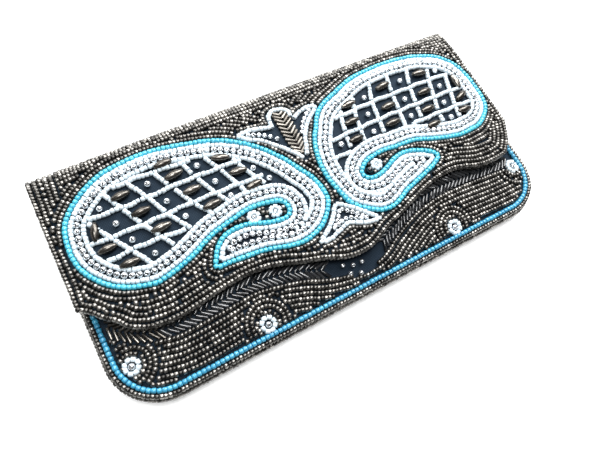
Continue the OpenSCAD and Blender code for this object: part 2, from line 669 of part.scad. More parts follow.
// Flowers of white beads in the channel of the left paisley's curl, as place, ring radius and petals.
left_curl = [[[-31.5, -2.7], 1.75, 5], [[-24.3, -4.2], 2.4, 7]];
right_curl_flower = [[32.5, -3.9], 2.05, 6];
curl_bead = [27.4, -5.4];
module curl_flower(f) {
    color("#e8f0f4") flower(fit(f[0]), f[1], f[2], function (x, y) flap_z(x, y));
}
module left_curl_flowers() {
    for (f = left_curl) curl_flower(f);
}
module right_curl_beads() {
    curl_flower(right_curl_flower);
    color("#3b3d42") bead_seat(fit(curl_bead), curl_bead_d / 2, function (x, y) flap_z(x, y))
        sphere(d = curl_bead_d);
}
module curl_cuts() {
    for (f = concat(left_curl, [right_curl_flower]))
        translate([fit(f[0])[0], fit(f[0])[1], 0]) cylinder(closed_h * 2, r = f[1] + bead_d / 2 + 0.2);
    translate([fit(curl_bead)[0], fit(curl_bead)[1], 0]) cylinder(closed_h * 2, d = curl_bead_d + 0.4);
}

module leaf_outline() {
    color("#e8f0f4") for (line = [leaf_line, left_petal_line, right_petal_line])
        flap_row(smooth(fit_all(line), 2, false), white_row_w, false);
}
// Two columns of bugle beads that lean towards the leaf's rib.
leaf_top_y = 38;
leaf_foot_y = 19;
leaf_pitch = 2.7;
leaf_rib_x = 1.4;
leaf_lean = 24;
module leaf_bugles() {
    color("#7c7468") for (side = [-1, 1], y = [leaf_top_y : -leaf_pitch : leaf_foot_y]) {
        p = fit([leaf_rib_x + side * (leaf_bugle_l / 2 + 0.5), y]);
        bead_seat(p, bugle_d / 2 + 0.15, function (x, y) flap_z(x, y))
            rotate([0, 90, side * leaf_lean]) cylinder(leaf_bugle_l * 0.9, d = bugle_d, center = true);
    }
}
petal_silver = [
    [-16, 34.3], [-13.6, 33.4], [-10.6, 31.7], [-7.9, 29.4], [13.8, 34.5], [11.9, 33], [9.9, 31.3],
    [8.4, 29.2]
];
module petal_beads() {
    color("#c8ccd0") for (p = fit_all(petal_silver))
        bead_seat(p, bead_d / 2, function (x, y) flap_z(x, y)) sphere(d = bead_d);
}
module tail_outline() {
    color("#e8f0f4") flap_row(smooth(fit_all(tail_line), 2, true), white_row_w, true);
}
tail_silver = [
    [3.6, -17.2], [1.4, -20], [5.6, -19.8], [-1.6, -22.4], [3.6, -22], [8.2, -22.2], [11, -24],
    [-4.5, -23.7]
];
module tail_beads() {
    color("#c8ccd0") for (p = fit_all(tail_silver))
        bead_seat(p, bead_d / 2, function (x, y) flap_z(x, y)) sphere(d = bead_d);
}

// Magnetic snap, tilted with the flap where it sits. Each half has two prongs that pass through the
// cloth or the lining and its own backing washer.
snap_x = fit(snap_at)[0];
snap_y = fit(snap_at)[1];
flap_tilt = atan(flap_z(snap_x, snap_y + 1) / 2 - flap_z(snap_x, snap_y - 1) / 2);
socket_z = front_z(snap_x, snap_y) - bead_d + layer_gap;
stud_z = flap_z(snap_x, snap_y) - panel_t - 0.15 - stud_plate_t;
prong_x = washer_d / 4;
slot_play = 0.3;
module snap_slots(z) {
    translate([snap_x, snap_y, z]) rotate([flap_tilt, 0, 0]) prongs(slot_play, 6, 12);
}
module prongs(play, drop, long) {
    for (s = [-1, 1])
        translate([s * prong_x - prong_t / 2 - play, -prong_w / 2 - play, -drop])
            cube([prong_t + 2 * play, prong_w + 2 * play, long]);
}
// The socket's washer hangs this far under the cloth, which curves away below it.
washer_drop = 0.4;
socket_prong_l = cloth_t + washer_drop + washer_t;
module snap_socket() {
    color("#b8bcc0") translate([snap_x, snap_y, socket_z]) {
        difference() {
            cylinder(socket_t, d = snap_d);
            translate([0, 0, 0.3]) cylinder(socket_t, d = nub_d + 2 * nub_play);
        }
        prongs(0, socket_prong_l, socket_prong_l + 0.1);
    }
}
module washer() {
    difference() {
        cylinder(washer_t, d = washer_d);
        prongs(0.15, 1, 3);
    }
}
module snap_socket_washer() {
    color("#8e9296")
        translate([snap_x, snap_y, socket_z - layer_gap - cloth_t - washer_drop - washer_t]) washer();
}
nub_l = 0.9;
stud_prong_l = lining_t + 0.3 + washer_t;
module snap_stud() {
    color("#b8bcc0") translate([snap_x, snap_y, stud_z]) rotate([flap_tilt, 0, 0]) {
        cylinder(stud_plate_t, d = snap_d);
        translate([0, 0, -nub_l]) cylinder(nub_l + 0.1, d = nub_d);
        translate([0, 0, stud_plate_t - 0.1]) prongs(0, 0, stud_prong_l);
    }
}
module snap_stud_washer() {
    color("#8e9296") translate([snap_x, snap_y, stud_z]) rotate([flap_tilt, 0, 0])
        translate([0, 0, stud_plate_t + 0.15 + lining_t + 0.1]) washer();
}

back_beads();
back_cloth();
back_board();
back_lining();
front_beads();
front_cloth();
front_board();
front_lining();
front_edge_beads();
side_beads();
side_cloth();
front_border();
front_flowers();
front_herringbone();
front_almond_beads();
fold_beads();
fold_cloth();
fold_lining();
flap_beads();
flap_cloth();
flap_board();
flap_lining();
left_paisley_outline();
left_paisley_outer_row();
left_paisley_silver();
left_paisley_inner_row();
left_trellis();
left_oat_beads();
left_round_beads();
left_curl_flowers();
right_paisley_outline();
right_paisley_outer_row();
right_paisley_silver();
right_paisley_inner_row();
right_trellis();
right_oat_beads();
right_round_beads();
right_curl_beads();
leaf_outline();
leaf_bugles();
petal_beads();
tail_outline();
tail_beads();
snap_socket();
snap_socket_washer();
snap_stud();
snap_stud_washer();
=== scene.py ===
import json
import math
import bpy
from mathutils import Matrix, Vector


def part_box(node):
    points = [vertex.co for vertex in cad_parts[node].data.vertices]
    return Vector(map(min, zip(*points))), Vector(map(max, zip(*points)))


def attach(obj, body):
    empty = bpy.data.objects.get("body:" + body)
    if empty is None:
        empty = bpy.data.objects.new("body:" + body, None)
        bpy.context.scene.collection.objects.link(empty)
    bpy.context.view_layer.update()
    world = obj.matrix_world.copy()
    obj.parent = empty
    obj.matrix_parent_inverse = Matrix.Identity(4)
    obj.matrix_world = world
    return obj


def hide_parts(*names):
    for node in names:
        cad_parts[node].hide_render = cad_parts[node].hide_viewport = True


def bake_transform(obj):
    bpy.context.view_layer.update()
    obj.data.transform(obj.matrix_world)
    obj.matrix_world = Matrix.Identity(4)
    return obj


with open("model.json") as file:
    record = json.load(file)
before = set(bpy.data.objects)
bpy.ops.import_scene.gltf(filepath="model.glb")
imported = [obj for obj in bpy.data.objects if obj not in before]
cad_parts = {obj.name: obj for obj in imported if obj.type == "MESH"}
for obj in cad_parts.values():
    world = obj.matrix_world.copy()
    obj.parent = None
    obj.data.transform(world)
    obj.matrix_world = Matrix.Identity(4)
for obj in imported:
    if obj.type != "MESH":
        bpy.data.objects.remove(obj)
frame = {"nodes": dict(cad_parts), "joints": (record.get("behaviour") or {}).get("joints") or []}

from types import SimpleNamespace

import bmesh
import bpy
import numpy as np
from mathutils import Matrix, Vector

bl_info = {
    "name": "Beaded envelope clutch",
    "version": (1, 0, 0),
    "blender": (4, 5, 0),
    "location": "View3D > Sidebar > Clutch",
    "description": "Builds the beads, cloth and lining of a hand-beaded envelope clutch round its CAD frame",
    "category": "Object",
}

MM = 0.001
SEED = 7
random = np.random.default_rng(SEED)

# Sizes that come from the frame, in millimetres.
pouch_low, pouch_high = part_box("back_beads")
flap_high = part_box("flap_beads")[1]
edge_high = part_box("front_edge_beads")[1]
fold_low, fold_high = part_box("fold_beads")
HALF_W = pouch_high.x / MM
HALF_L = -pouch_low.y / MM
CLOSED_H = flap_high.z / MM
MOUTH_Y = edge_high.y / MM
CREASE_Z = frame["joints"][0]["pos_m"][2] / MM
FOLD_R = fold_high.y / MM - fold_low.y / MM
ARC_Y = HALF_L - FOLD_R

# The outline and the crown of the two panels as the CAD solids have them, in millimetres.
CORNER_R = 24.0
FOLD_SLOPE = math.radians(15)
FOLD_RISE_L = 17.0
SIDE_DROP = 0.45
TIP_DROP = 0.15
TIP_Y = -39.0
FRONT_EDGE_H = 9.5
FRONT_RISE = 5.7
FRONT_FALL_L = 36.0

ARC_END = math.pi / 2 - FOLD_SLOPE
ARC_END_Y = ARC_Y + FOLD_R * math.cos(ARC_END)
CROWN_START = ARC_END_Y - FOLD_RISE_L
CROWN_BEND = math.tan(FOLD_SLOPE) / FOLD_RISE_L
FLAP_RISE = CLOSED_H - CREASE_Z
ARC_TOP = FLAP_RISE - math.tan(FOLD_SLOPE) * FOLD_RISE_L / 2
CREASE_V = ARC_END_Y + FOLD_R * ARC_END
FOLD_END_V = CREASE_V + CREASE_Z - FOLD_R + FOLD_R * math.pi / 2

# Depths of the layers under the tips of the beads and their thickness, in millimetres.
LAYER = 2.0
CLOTH_T = 0.5
LINING_DEPTH = 3.5
LINING_T = 0.3
SIDE_CLOTH_DEPTH = 2.1

# How far the cloth and the lining stay inside the flap's sides, its edge, the fold's end and the pouch.
CLOTH_MARGINS = (0.5, 0.4, 0.2, 2.15)
LINING_MARGINS = (1.5, 1.5, 0.4, 3)

# Distances of a paisley's rows from its turquoise line, in millimetres. Where the paisley narrows, the next
# of the inner distances is tried, and extra silver beads go where no inner row comes near.
OUTER_WHITE = [2.35]
SILVER_ROW = [4.9]
INNER_WHITE = [7.5, 7.15, 6.8]
EXTRA_SILVER = [7.0, 7.6]
EXTRA_SILVER_GAP = 2.4
TRELLIS_MARGIN = 8.4

# The silver rows inside the tail's white one, and the leaf's bugles, which stand in pairs from its top down.
TAIL_SILVER = [2.3, 4.6]
TAIL_PITCH = 2.45
TAIL_ROOM = 1.08
LEAF_TOP, LEAF_FOOT, LEAF_PITCH = 40, 15.5, 2.3
LEAF_MIDDLE_X = 1.9
LEAF_REACH = 1.6
LEAF_LEAN = math.radians(38)

# Room that beads keep round their middles, in millimetres.
TURQUOISE_ROOM = 1.15
WHITE_ROOM = 0.82
SILVER_ROOM = 1.25
TRELLIS_ROOM = 0.62
SINGLE_ROOM = 0.74

# Diameters of the round silver beads away from the paisleys' rows, in millimetres.
SILVER = {"curl": 2.0, "tail": 2.35, "almond": 2.4, "petal": 2.6, "flower": 2.9, "cell": 3.0}

# Where the first rows lie beside the flap's rim and its crease, how far all rows stay inside the rim, and
# how far inside the pouch's outline its border runs.
RIM_FIRST = 1.05
CREASE_FIRST = 1.1
FLAP_MARGIN = 1.0
BORDER_INSET = 4.2

# Rows round the pouch's edge, as inset and height above the table. None lays a row on the front panel.
RIM_ROWS = ((1.95, None), (1.06, 6.3))
SIDE_ROWS = ((1.06, 4.0), (1.5, 2.0))

# Rows down the fold from the crease, and how far the back's rows stay inside its outline.
FOLD_ROWS = (1.2, 15.6)
BACK_MARGIN = 3.0

# The herringbone: the spacing of its pairs, how far they lie from its middle line and how they lean, how
# far out they reach, and the place across the bag left of which they are pewter.
HERRING_PITCH = 2.45
HERRING_ARM = 2.0
HERRING_LEAN = math.radians(42)
HERRING_REACH = 108.6
PEWTER_END_X = -88

# How far the front's rows stay from the border and from the herringbone, where the herringbone's own edge
# stops counting, and the corner at its right end that carries rows too.
BORDER_ROOM = 2.05
HERRING_ROOM = 4.9
HERRING_END_X = 104.5
CORNER_X, CORNER_Y = 103, -12

# The photograph's view: the camera's lens and place, both in millimetres, and the way it is turned.
LENS = 29.13
CAMERA_PLACE = (-81.99, -67.06, 219.53)
CAMERA_RIGHT = (0.86468, -0.47669, 0.15841)
CAMERA_DOWN = (-0.40234, -0.84604, -0.34979)
CAMERA_AHEAD = (0.30076, 0.23872, -0.92334)

# Name, place in metres, size in metres and power in watts of each lamp.
LAMPS = (
    ("key_lamp", (0.45, 0.42, 0.62), 0.7, 17),
    ("top_lamp", (-0.1, 0.05, 0.85), 0.3, 5),
    ("back_lamp", (-0.15, 0.8, 0.4), 0.4, 6),
)


def hex_colour(text):
    """sRGB hex value as linear RGBA."""
    def channel(c):
        c /= 255
        return c / 12.92 if c <= 0.04045 else ((c + 0.055) / 1.055) ** 2.4
    return tuple(channel(int(text[k:k + 2], 16)) for k in (1, 3, 5)) + (1.0,)


def bead_size(name, description, millimetres):
    """A size that the user can change, held in metres."""
    return bpy.props.FloatProperty(
        name=name, description=description, default=millimetres * MM, min=0, unit="LENGTH", precision=5)


def finish_colour(name, description, text):
    """A colour that the user can change, with its sRGB hex value as default."""
    return bpy.props.FloatVectorProperty(
        name=name, description=description, default=hex_colour(text)[:3], min=0, max=1, subtype="COLOR")


class ClutchBeads(bpy.types.PropertyGroup):
    """Sizes of the beads and the spacing of their rows."""

    seed_diameter: bead_size("Seed bead diameter", "Diameter of a gunmetal seed bead", 2.26)
    seed_pitch: bead_size("Seed bead pitch", "Spacing of the seed beads along a row", 1.72)
    row_pitch: bead_size("Row pitch", "Spacing of the gunmetal rows", 2.32)
    turquoise_diameter: bead_size("Turquoise bead diameter", "Diameter of a turquoise bead", 2.4)
    turquoise_pitch: bead_size("Turquoise bead pitch", "Spacing of the turquoise beads", 2.08)
    white_diameter: bead_size("White bead diameter", "Diameter of a white bead", 2.3)
    white_pitch: bead_size("White bead pitch", "Spacing of the white beads", 1.9)
    silver_diameter: bead_size("Silver bead diameter", "Diameter of a round silver bead", 2.95)
    silver_pitch: bead_size("Silver bead pitch", "Spacing of the round silver beads", 3.0)
    oat_length: bead_size("Oat bead length", "Length of a fluted oat bead", 8.6)
    oat_diameter: bead_size("Oat bead diameter", "Diameter of a fluted oat bead", 4.0)
    bugle_length: bead_size("Bugle length", "Length of a bugle in the herringbone", 5.3)
    bugle_diameter: bead_size("Bugle diameter", "Diameter of a bugle in the herringbone", 1.65)
    leaf_bugle_length: bead_size("Leaf bugle length", "Length of a bugle in the leaf", 4.9)
    leaf_bugle_diameter: bead_size("Leaf bugle diameter", "Diameter of a bugle in the leaf", 1.75)


class ClutchColours(bpy.types.PropertyGroup):
    """Colours of the beads and cloth."""

    gunmetal: finish_colour("Gunmetal", "Light side of the gunmetal beads", "#9c9994")
    gunmetal_dark: finish_colour("Gunmetal shade", "Dark side of the gunmetal beads", "#0e0d0c")
    turquoise: finish_colour("Turquoise", "Beads round the two paisleys", "#4bb3c8")
    border_blue: finish_colour("Border blue", "Beads of the border on the pouch", "#4297b8")
    white: finish_colour("White", "Opaque white beads", "#ced9df")
    silver: finish_colour("Silver", "Silver-plated round beads", "#eceff2")
    pewter: finish_colour("Pewter", "Fluted oat beads, and the bugles of the leaf", "#7c7872")
    black: finish_colour("Black", "Bugles of the herringbone", "#17181b")
    cloth: finish_colour("Ground cloth", "Satin that the beads are sewn to", "#1e2c3a")
    lining: finish_colour("Lining", "Satin lining inside the pouch", "#191b1f")


def sizes_in_mm(context):
    """The bead sizes that the user can change, in millimetres."""
    group = context.scene.clutch_beads
    return SimpleNamespace(**{name: getattr(group, name) / MM for name in ClutchBeads.__annotations__})


# Outlines of the motifs, in millimetres on the closed bag, each from the tip of its tail.
LEFT_PAISLEY = [
    (-57.7, -16.8), (-57.2, -14.3), (-53.9, -9.1), (-49, -5.5), (-43, -4.5), (-37, -5.1), (-29.1, -8),
    (-25.1, -9), (-21.6, -9.4), (-18.6, -8.5), (-17.3, -6.5), (-17.4, -3.8), (-18.6, -1.7), (-21, -0.2),
    (-28.9, 1.2), (-34.9, 1.4), (-40.9, 0.2), (-53, -2.5), (-62, -6.5), (-69.1, -9.1), (-78.8, -11.3),
    (-83.5, -11.4), (-92.5, -8.6), (-99.1, -4.3), (-104.5, 2.1), (-107.6, 8.5), (-108.5, 16.5),
    (-106.6, 27.2), (-100.9, 34.4), (-92.4, 40.5), (-83.7, 44.3), (-71.9, 45.9), (-60.9, 45.8),
    (-47.8, 43.2), (-33.9, 39.2), (-24.1, 33.8), (-16.2, 27.5), (-8.5, 18.2), (-3.7, 9.9), (0.2, 2.4),
    (1.7, -6), (0.1, -12), (-6.6, -19), (-15.4, -22.4), (-23.4, -22.2), (-35.3, -19), (-47.3, -17.5),
    (-53.5, -17),
]
RIGHT_PAISLEY = [
    (64.3, -13), (62.7, -9.7), (59.1, -7.4), (54.8, -5.4), (50.4, -4.1), (45.9, -4.1), (41.6, -5.1),
    (37.1, -7.1), (32.6, -8.7), (28.7, -9.3), (25.2, -8.7), (23.3, -6.5), (23.5, -4.3), (25.4, -2.3),
    (28.5, -0.3), (32.9, 0.8), (39.5, 1.2), (46.1, 0.5), (51.5, 0.3), (57.5, -0.2), (65.6, -2.9),
    (71.7, -4.8), (77.9, -6.3), (84.2, -7.3), (90.6, -7), (97.2, -6.2), (103, -3.4), (108, 0.8),
    (110.6, 6), (111.2, 12.6), (111.3, 19), (110.5, 25.2), (108.3, 31.4), (103.8, 36.8), (99.5, 40.1),
    (93.3, 42.6), (85.1, 45.2), (74, 46.4), (64.1, 46.6), (55.9, 46), (49.1, 45.2), (42.1, 43.3),
    (32.9, 39.6), (25.9, 36.8), (21.4, 34.1), (17.3, 29.7), (14.1, 24.8), (11.3, 20.8), (8.6, 14.6),
    (7, 7.4), (6.6, 1.5), (7, -2.9), (8.9, -11.6), (10.6, -16), (14, -19.9), (17.6, -22.5),
    (21.5, -24.8), (25.8, -25.8), (30.2, -25.4), (34.7, -23.9), (39, -21.9), (45.6, -20), (52.3, -18.1),
    (58.9, -16.1),
]
FLAP_EDGE = [
    (-115, -8), (-113.5, -9), (-110.6, -11.2), (-106.8, -15.7), (-103, -19), (-100, -22.9),
    (-96.5, -25.4), (-92, -27.4), (-85.2, -28.6), (-79.1, -28.8), (-71, -27.9), (-57.4, -26),
    (-47.6, -25.4), (-38.5, -26.3), (-31.4, -28.3), (-23.5, -31.1), (-14.3, -33.9), (-6, -37.4),
    (1, -38.8), (8.5, -38.6), (14, -36.9), (21.5, -33.4), (30.2, -31), (38.1, -28.3), (47.9, -25.2),
    (54.8, -23.6), (63, -22.5), (69, -22.7), (74.5, -24), (81, -26.1), (88.1, -27), (94.6, -27),
    (101.2, -26.2), (105.8, -22.8), (109.5, -18.5), (112.3, -13.8), (115, -9),
]
LEAF_LINE = [(-4.8, 34), (-4.3, 38.3), (-2.8, 41.6), (0.8, 43), (4.7, 41.6), (6.5, 39.2), (6.3, 36.4)]
LEFT_PETAL_TOP = [(-5.6, 34.6), (-10, 35.8), (-14.5, 36.9), (-19, 37.1), (-22.3, 36.8)]
LEFT_PETAL_FOOT = [
    (-22.3, 36.6), (-20.3, 34.6), (-17.8, 32.5), (-12.6, 29.6), (-7.9, 24.9), (-4.1, 20.9),
    (-0.9, 17.2), (1.4, 13.6),
]
RIGHT_PETAL_TOP = [(7, 34.8), (9.5, 36), (11.9, 36.9), (16.3, 37.8), (20.4, 37.2)]
RIGHT_PETAL_FOOT = [
    (20.4, 37), (18.6, 34.7), (13.8, 31.2), (9.9, 27.2), (7.2, 22.6), (5.2, 18.2), (3.8, 14.6),
]
MOTIF_FIELD = [
    (-24, 38.6), (-6.3, 36.6), (-6, 39.5), (-4.2, 43), (0.8, 44.6), (6, 43.2), (8, 39.5), (8.4, 37.6),
    (13, 39), (22.2, 38.6), (19.8, 34), (14.8, 30.2), (11.2, 26.6), (8.6, 22), (6.6, 17.6), (4.8, 12.4),
    (0.6, 11.8), (-2.4, 16.2), (-9, 24), (-13.4, 28.4), (-19, 31.6),
]
TAIL_LINE = [
    (3.4, -13.6), (0.4, -16.8), (-2.3, -19.8), (-6.6, -22.9), (-11.4, -26.4), (-6.7, -27),
    (-2.3, -25.6), (2.1, -24.2), (4.9, -23.9), (8.6, -25.8), (13, -27.5), (18.9, -28.1), (16.1, -24.6),
    (13.1, -21.2), (9.8, -18), (6.5, -15.4),
]
ALMOND = [
    (-17, -38.8), (-11, -40.8), (-5.5, -44.8), (-1, -47.6), (4.5, -48), (10.5, -45.6), (15.8, -42.4),
    (20.5, -38.4), (14, -38), (3, -38), (-8, -36),
]

# Rows of the two trellises, in millimetres on the closed bag.
LEFT_TRELLIS = [
    [(-90.5, 34.8), (-76, 35.6), (-62, 35), (-47.3, 33.8)],
    [(-99, 26.2), (-77, 25), (-50, 25.4), (-22.6, 24.6)],
    [(-100, 15), (-78, 14.2), (-50, 14.6), (-20.3, 13.6)], [(-96.6, 5.6), (-80, 5.9), (-62.4, 4.6)],
    [(-98.4, 26.2), (-91.4, 14.4), (-85.6, 4.6), (-80.6, -3.6)],
    [(-87.4, 34.4), (-82.8, 24.8), (-77.6, 14.6), (-71.4, 3.4), (-67.6, -3)],
    [(-77.4, 36.6), (-71.4, 25.4), (-66.4, 14.6), (-61.6, 6.2), (-57, -1)],
    [(-65, 36), (-60, 25.4), (-54.6, 14.6), (-50.4, 8.2), (-46, 2)],
    [(-51.4, 35), (-48.6, 25.4), (-43.6, 14.4), (-40.6, 9.6), (-36.4, 4)],
    [(-41, 32.8), (-37.4, 25.2), (-33, 14.2), (-31, 9.4), (-28, 4.4)],
    [(-29.6, 27), (-26.4, 19.4), (-23.4, 13.6), (-21.4, 9.2)],
]
RIGHT_TRELLIS = [
    [(22, 26), (28, 26.4), (50, 27.4), (78, 27.6), (103.4, 27.6)],
    [(18, 16), (24.2, 16.4), (50, 17.2), (78, 17.4), (104, 17.4)],
    [(15, 7), (21, 7.4), (50, 7.8), (78, 8.2), (101.6, 8.2)],
    [(41.6, 34.6), (37.9, 26.6), (35.3, 17), (33.4, 8)],
    [(53.4, 37), (49.2, 27.4), (47, 17), (45.2, 8.2)], [(65.4, 38), (62, 27.4), (59.8, 17), (57.8, 8)],
    [(78.2, 37.8), (73.8, 27.6), (71, 17.4), (68.6, 8)],
    [(90.6, 35.2), (86.6, 27.6), (83, 17.4), (80, 8.2), (79, 2.6)],
    [(101, 31.4), (98, 27.2), (94.6, 17.4), (91.6, 8.2), (90, 1.8)],
    [(31, 29), (27.8, 20), (25.4, 9.4)],
]
# Places of the oat beads with their turn in degrees, and of the round beads.
LEFT_OATS = [
    (-80.8, 30.2, 6), (-56.7, 29.8, 6), (-34.6, 29.2, -20), (-76, 19.6, 0), (-52.6, 19.8, 2),
    (-30.4, 19.8, -6), (-96.3, 19.4, 72), (-94.2, 10.4, 4), (-71.3, 9.6, 2), (-47.6, 9.8, 4),
    (-26.4, 10.6, 8), (-88.6, 0.9, 0), (-59, 36.9, 2),
]
LEFT_ROUNDS = [
    (-91, 28.6), (-68.6, 30.6), (-45.6, 29.9), (-87.4, 19.4), (-64.4, 19.6), (-41.4, 19.6), (-23, 18.6),
    (-84, 9.8), (-60, 9.9), (-38.2, 10.4), (-18.6, 11), (-78, 0.2), (-88.6, 36.4), (-40.4, 36),
]
RIGHT_OATS = [
    (36.2, 30.6, 4), (59, 33.2, 4), (83.2, 33.2, -10), (33, 21.4, 0), (55.6, 21.8, 0), (79.2, 22, 0),
    (100.9, 21.3, 90), (30, 12, 0), (52.6, 12.4, 0), (75, 12.2, 0), (98.4, 12.6, 20), (72.8, 3.2, 0),
    (94.6, 4.4, 0),
]
RIGHT_ROUNDS = [
    (46.4, 31), (70.4, 32.8), (93.4, 31.4), (43, 21.8), (66.4, 22), (90, 22), (21.6, 12.6),
    (40.6, 12.2), (64, 12.2), (86.2, 12.4), (84.6, 3.4), (62.4, 4.2),
]
LEFT_CURL_FLOWERS = [(-33.6, -3.1), (-23.6, -4.6)]
RIGHT_CURL_FLOWER = (32.2, -3.9)
RIGHT_CURL_BEAD = (27.2, -5.3)
PETAL_SILVER = [
    (-17.4, 34.9), (-15, 34.1), (-12.6, 33), (-10.3, 31.6), (-7.9, 30), (-5.7, 27.8), (16.2, 35.6),
    (14, 34.2), (12, 32.6), (10.2, 30.8), (8.6, 28.6), (7.3, 26.2),
]
ALMOND_SILVER = [(-6.4, -39.4), (-1.8, -41.2), (2.9, -41.6), (-4.6, -44.3), (0.2, -46)]
HERRING_LINE = [
    (-108.4, -13.5), (-105.6, -19.6), (-96.9, -26), (-88, -28.8), (-80.5, -29.8), (-61.3, -29.2),
    (-46.9, -28.6), (-32.6, -31.3), (-23, -34), (-15.3, -37.3), (-6, -40), (3, -41.3), (10, -40.6),
    (15.6, -38.6), (20.2, -36), (29.7, -31.8), (39.2, -28.6), (53.7, -26.4), (73.4, -26.6), (94, -27.8),
    (103, -27.6), (110.5, -25.8),
]
FRONT_FLOWERS = [(-104.6, -36.6), (-48.3, -47.2), (55, -47.4), (105.4, -33)]


def smooth_curve(points, closed=False):
    """A Catmull-Rom curve through the points, as places a quarter of a millimetre apart."""
    p = np.array(points, float)
    n = len(p)
    spans = n if closed else n - 1
    at = np.arange(0, spans, 0.05)
    i = at.astype(int)
    t = (at - i)[:, None]

    def knot(k):
        return p[k % n] if closed else p[np.clip(k, 0, n - 1)]

    a, b, c, d = knot(i - 1), knot(i), knot(i + 1), knot(i + 2)
    q = 0.5 * (2 * b + (c - a) * t + (2 * a - 5 * b + 4 * c - d) * t**2 + (3 * b - a - 3 * c + d) * t**3)
    if not closed:
        q = np.vstack([q, p[-1]])
    return spaced(q, 0.25, closed)


def run_lengths(points, closed):
    """The points of a line, the first one again if it is closed, and how far along it each lies."""
    ends = np.vstack([points, points[:1]]) if closed else points
    return ends, np.concatenate([[0], np.cumsum(np.linalg.norm(np.diff(ends, axis=0), axis=1))])


def spaced(points, pitch, closed):
    """Places at an even spacing along a line."""
    ends, run = run_lengths(points, closed)
    count = max(int(round(run[-1] / pitch)), 1)
    at = np.arange(count) * run[-1] / count if closed else np.linspace(0, run[-1], count + 1)
    return np.column_stack([np.interp(at, run, ends[:, k]) for k in range(ends.shape[1])])


def string_beads(points, pitch, closed=False):
    """Middles and directions of the beads that fill a line."""
    ends, run = run_lengths(points, closed)
    count = int(round(run[-1] / pitch))
    if count < 1:
        return np.zeros((0, 2)), np.zeros((0, 2))
    at = (np.arange(count) + 0.5) * run[-1] / count
    half = 0.5 * pitch

    def on(s):
        s = s % run[-1] if closed else np.clip(s, 0, run[-1])
        return np.column_stack([np.interp(s, run, ends[:, k]) for k in range(2)])

    way = on(at + half) - on(at - half)
    return on(at), way / np.maximum(np.linalg.norm(way, axis=1), 1e-6)[:, None]


def headings(turn):
    """Directions on a face, turned from the bag's length by angles in radians."""
    return np.column_stack([np.cos(turn), np.sin(turn)])


def counterclockwise(line):
    """A closed line, reversed where it runs clockwise."""
    x, y = line[:, 0], line[:, 1]
    area = 0.5 * np.sum(x * np.roll(y, -1) - np.roll(x, -1) * y)
    return line if area > 0 else line[::-1]


def distance(places, line):
    """How far each place lies from the nearest point of a dense line."""
    out = np.empty(len(places))
    for k in range(0, len(places), 400):
        d = places[k:k + 400, None, :] - line[None, :, :]
        out[k:k + 400] = np.sqrt((d * d).sum(2).min(1))
    return out


def inside(places, polygon):
    """Which places lie inside a closed polygon."""
    x, y = places[:, 0], places[:, 1]
    result = np.zeros(len(places), bool)
    a, b = polygon, np.roll(polygon, -1, axis=0)
    for (ax, ay), (bx, by) in zip(a, b):
        crosses = (ay > y) != (by > y)
        if ay != by:
            result ^= crosses & (x < (bx - ax) * (y - ay) / (by - ay) + ax)
    return result


def echo(line, away, closed):
    """Runs of a line moved sideways, to its left where away is positive, without what would fold over."""
    ahead = np.roll(line, -1, axis=0) if closed else np.vstack([line[1:], line[-1:]])
    behind = np.roll(line, 1, axis=0) if closed else np.vstack([line[:1], line[:-1]])
    way = ahead - behind
    way /= np.maximum(np.linalg.norm(way, axis=1), 1e-6)[:, None]
    moved = line + away * np.column_stack([-way[:, 1], way[:, 0]])
    keep = distance(moved, line) > abs(away) * 0.985 - 0.02
    runs, run = [], []
    for p, k in zip(moved, keep):
        if k:
            if run and np.linalg.norm(p - run[-1]) > 3:
                runs.append(np.array(run))
                run = []
            run.append(p)
    if run:
        runs.append(np.array(run))
    if closed and len(runs) > 1 and np.linalg.norm(runs[-1][-1] - runs[0][0]) < 3:
        runs[0] = np.vstack([runs.pop(), runs[0]])
    whole = closed and len(runs) == 1 and np.linalg.norm(runs[0][0] - runs[0][-1]) < 1.5
    return [(spaced(r, 0.4, False), whole) for r in runs if len(r) > 3]


class Ground:
    """The beads laid so far on one face, in cells, so that rows laid later leave them room."""

    CELL = 3.0

    def __init__(self):
        self.grid = {}

    def near(self, p):
        """What has been claimed in the cells round a place."""
        i, j = int(p[0] // self.CELL), int(p[1] // self.CELL)
        for a in (i - 1, i, i + 1):
            for b in (j - 1, j, j + 1):
                yield from self.grid.get((a, b), ())

    def claim(self, places, radius):
        """Keeps later beads out of a circle round each place."""
        for x, y in places:
            cell = int(x // self.CELL), int(y // self.CELL)
            self.grid.setdefault(cell, []).append((x, y, radius))

    def free(self, p, radius):
        """Whether a bead has room at a place."""
        return all((p[0] - x) ** 2 + (p[1] - y) ** 2 >= (radius + r) ** 2 for x, y, r in self.near(p))

    def lay(self, places, ways, radius, region):
        """The beads of a row that lie in the region with room round them, which are then claimed."""
        if not len(places):
            return places, ways
        ok = region(places)
        ok = np.array([k and self.free(p, radius) for p, k in zip(places, ok)], bool)
        self.claim(places[ok], radius)
        return places[ok], ways[ok]


def flap_face(u, v):
    """Bead tips of the flap. u goes across the bag, v runs from the flap's tip up and over the fold."""
    angle = ARC_END - (v - ARC_END_Y) / FOLD_R
    on_arc = v > ARC_END_Y
    y = np.where(on_arc, ARC_Y + FOLD_R * np.cos(angle), v)
    rise = np.where(
        on_arc, ARC_TOP * np.sin(angle) / math.sin(ARC_END),
        FLAP_RISE - CROWN_BEND * np.maximum(v - CROWN_START, 0) ** 2 / 2)
    side = 1 - SIDE_DROP * (np.abs(u) / HALF_W) ** 4
    tip = 1 - TIP_DROP * (np.maximum(-y, 0) / -TIP_Y) ** 2
    return np.column_stack([u, y, CREASE_Z + rise * side * tip])


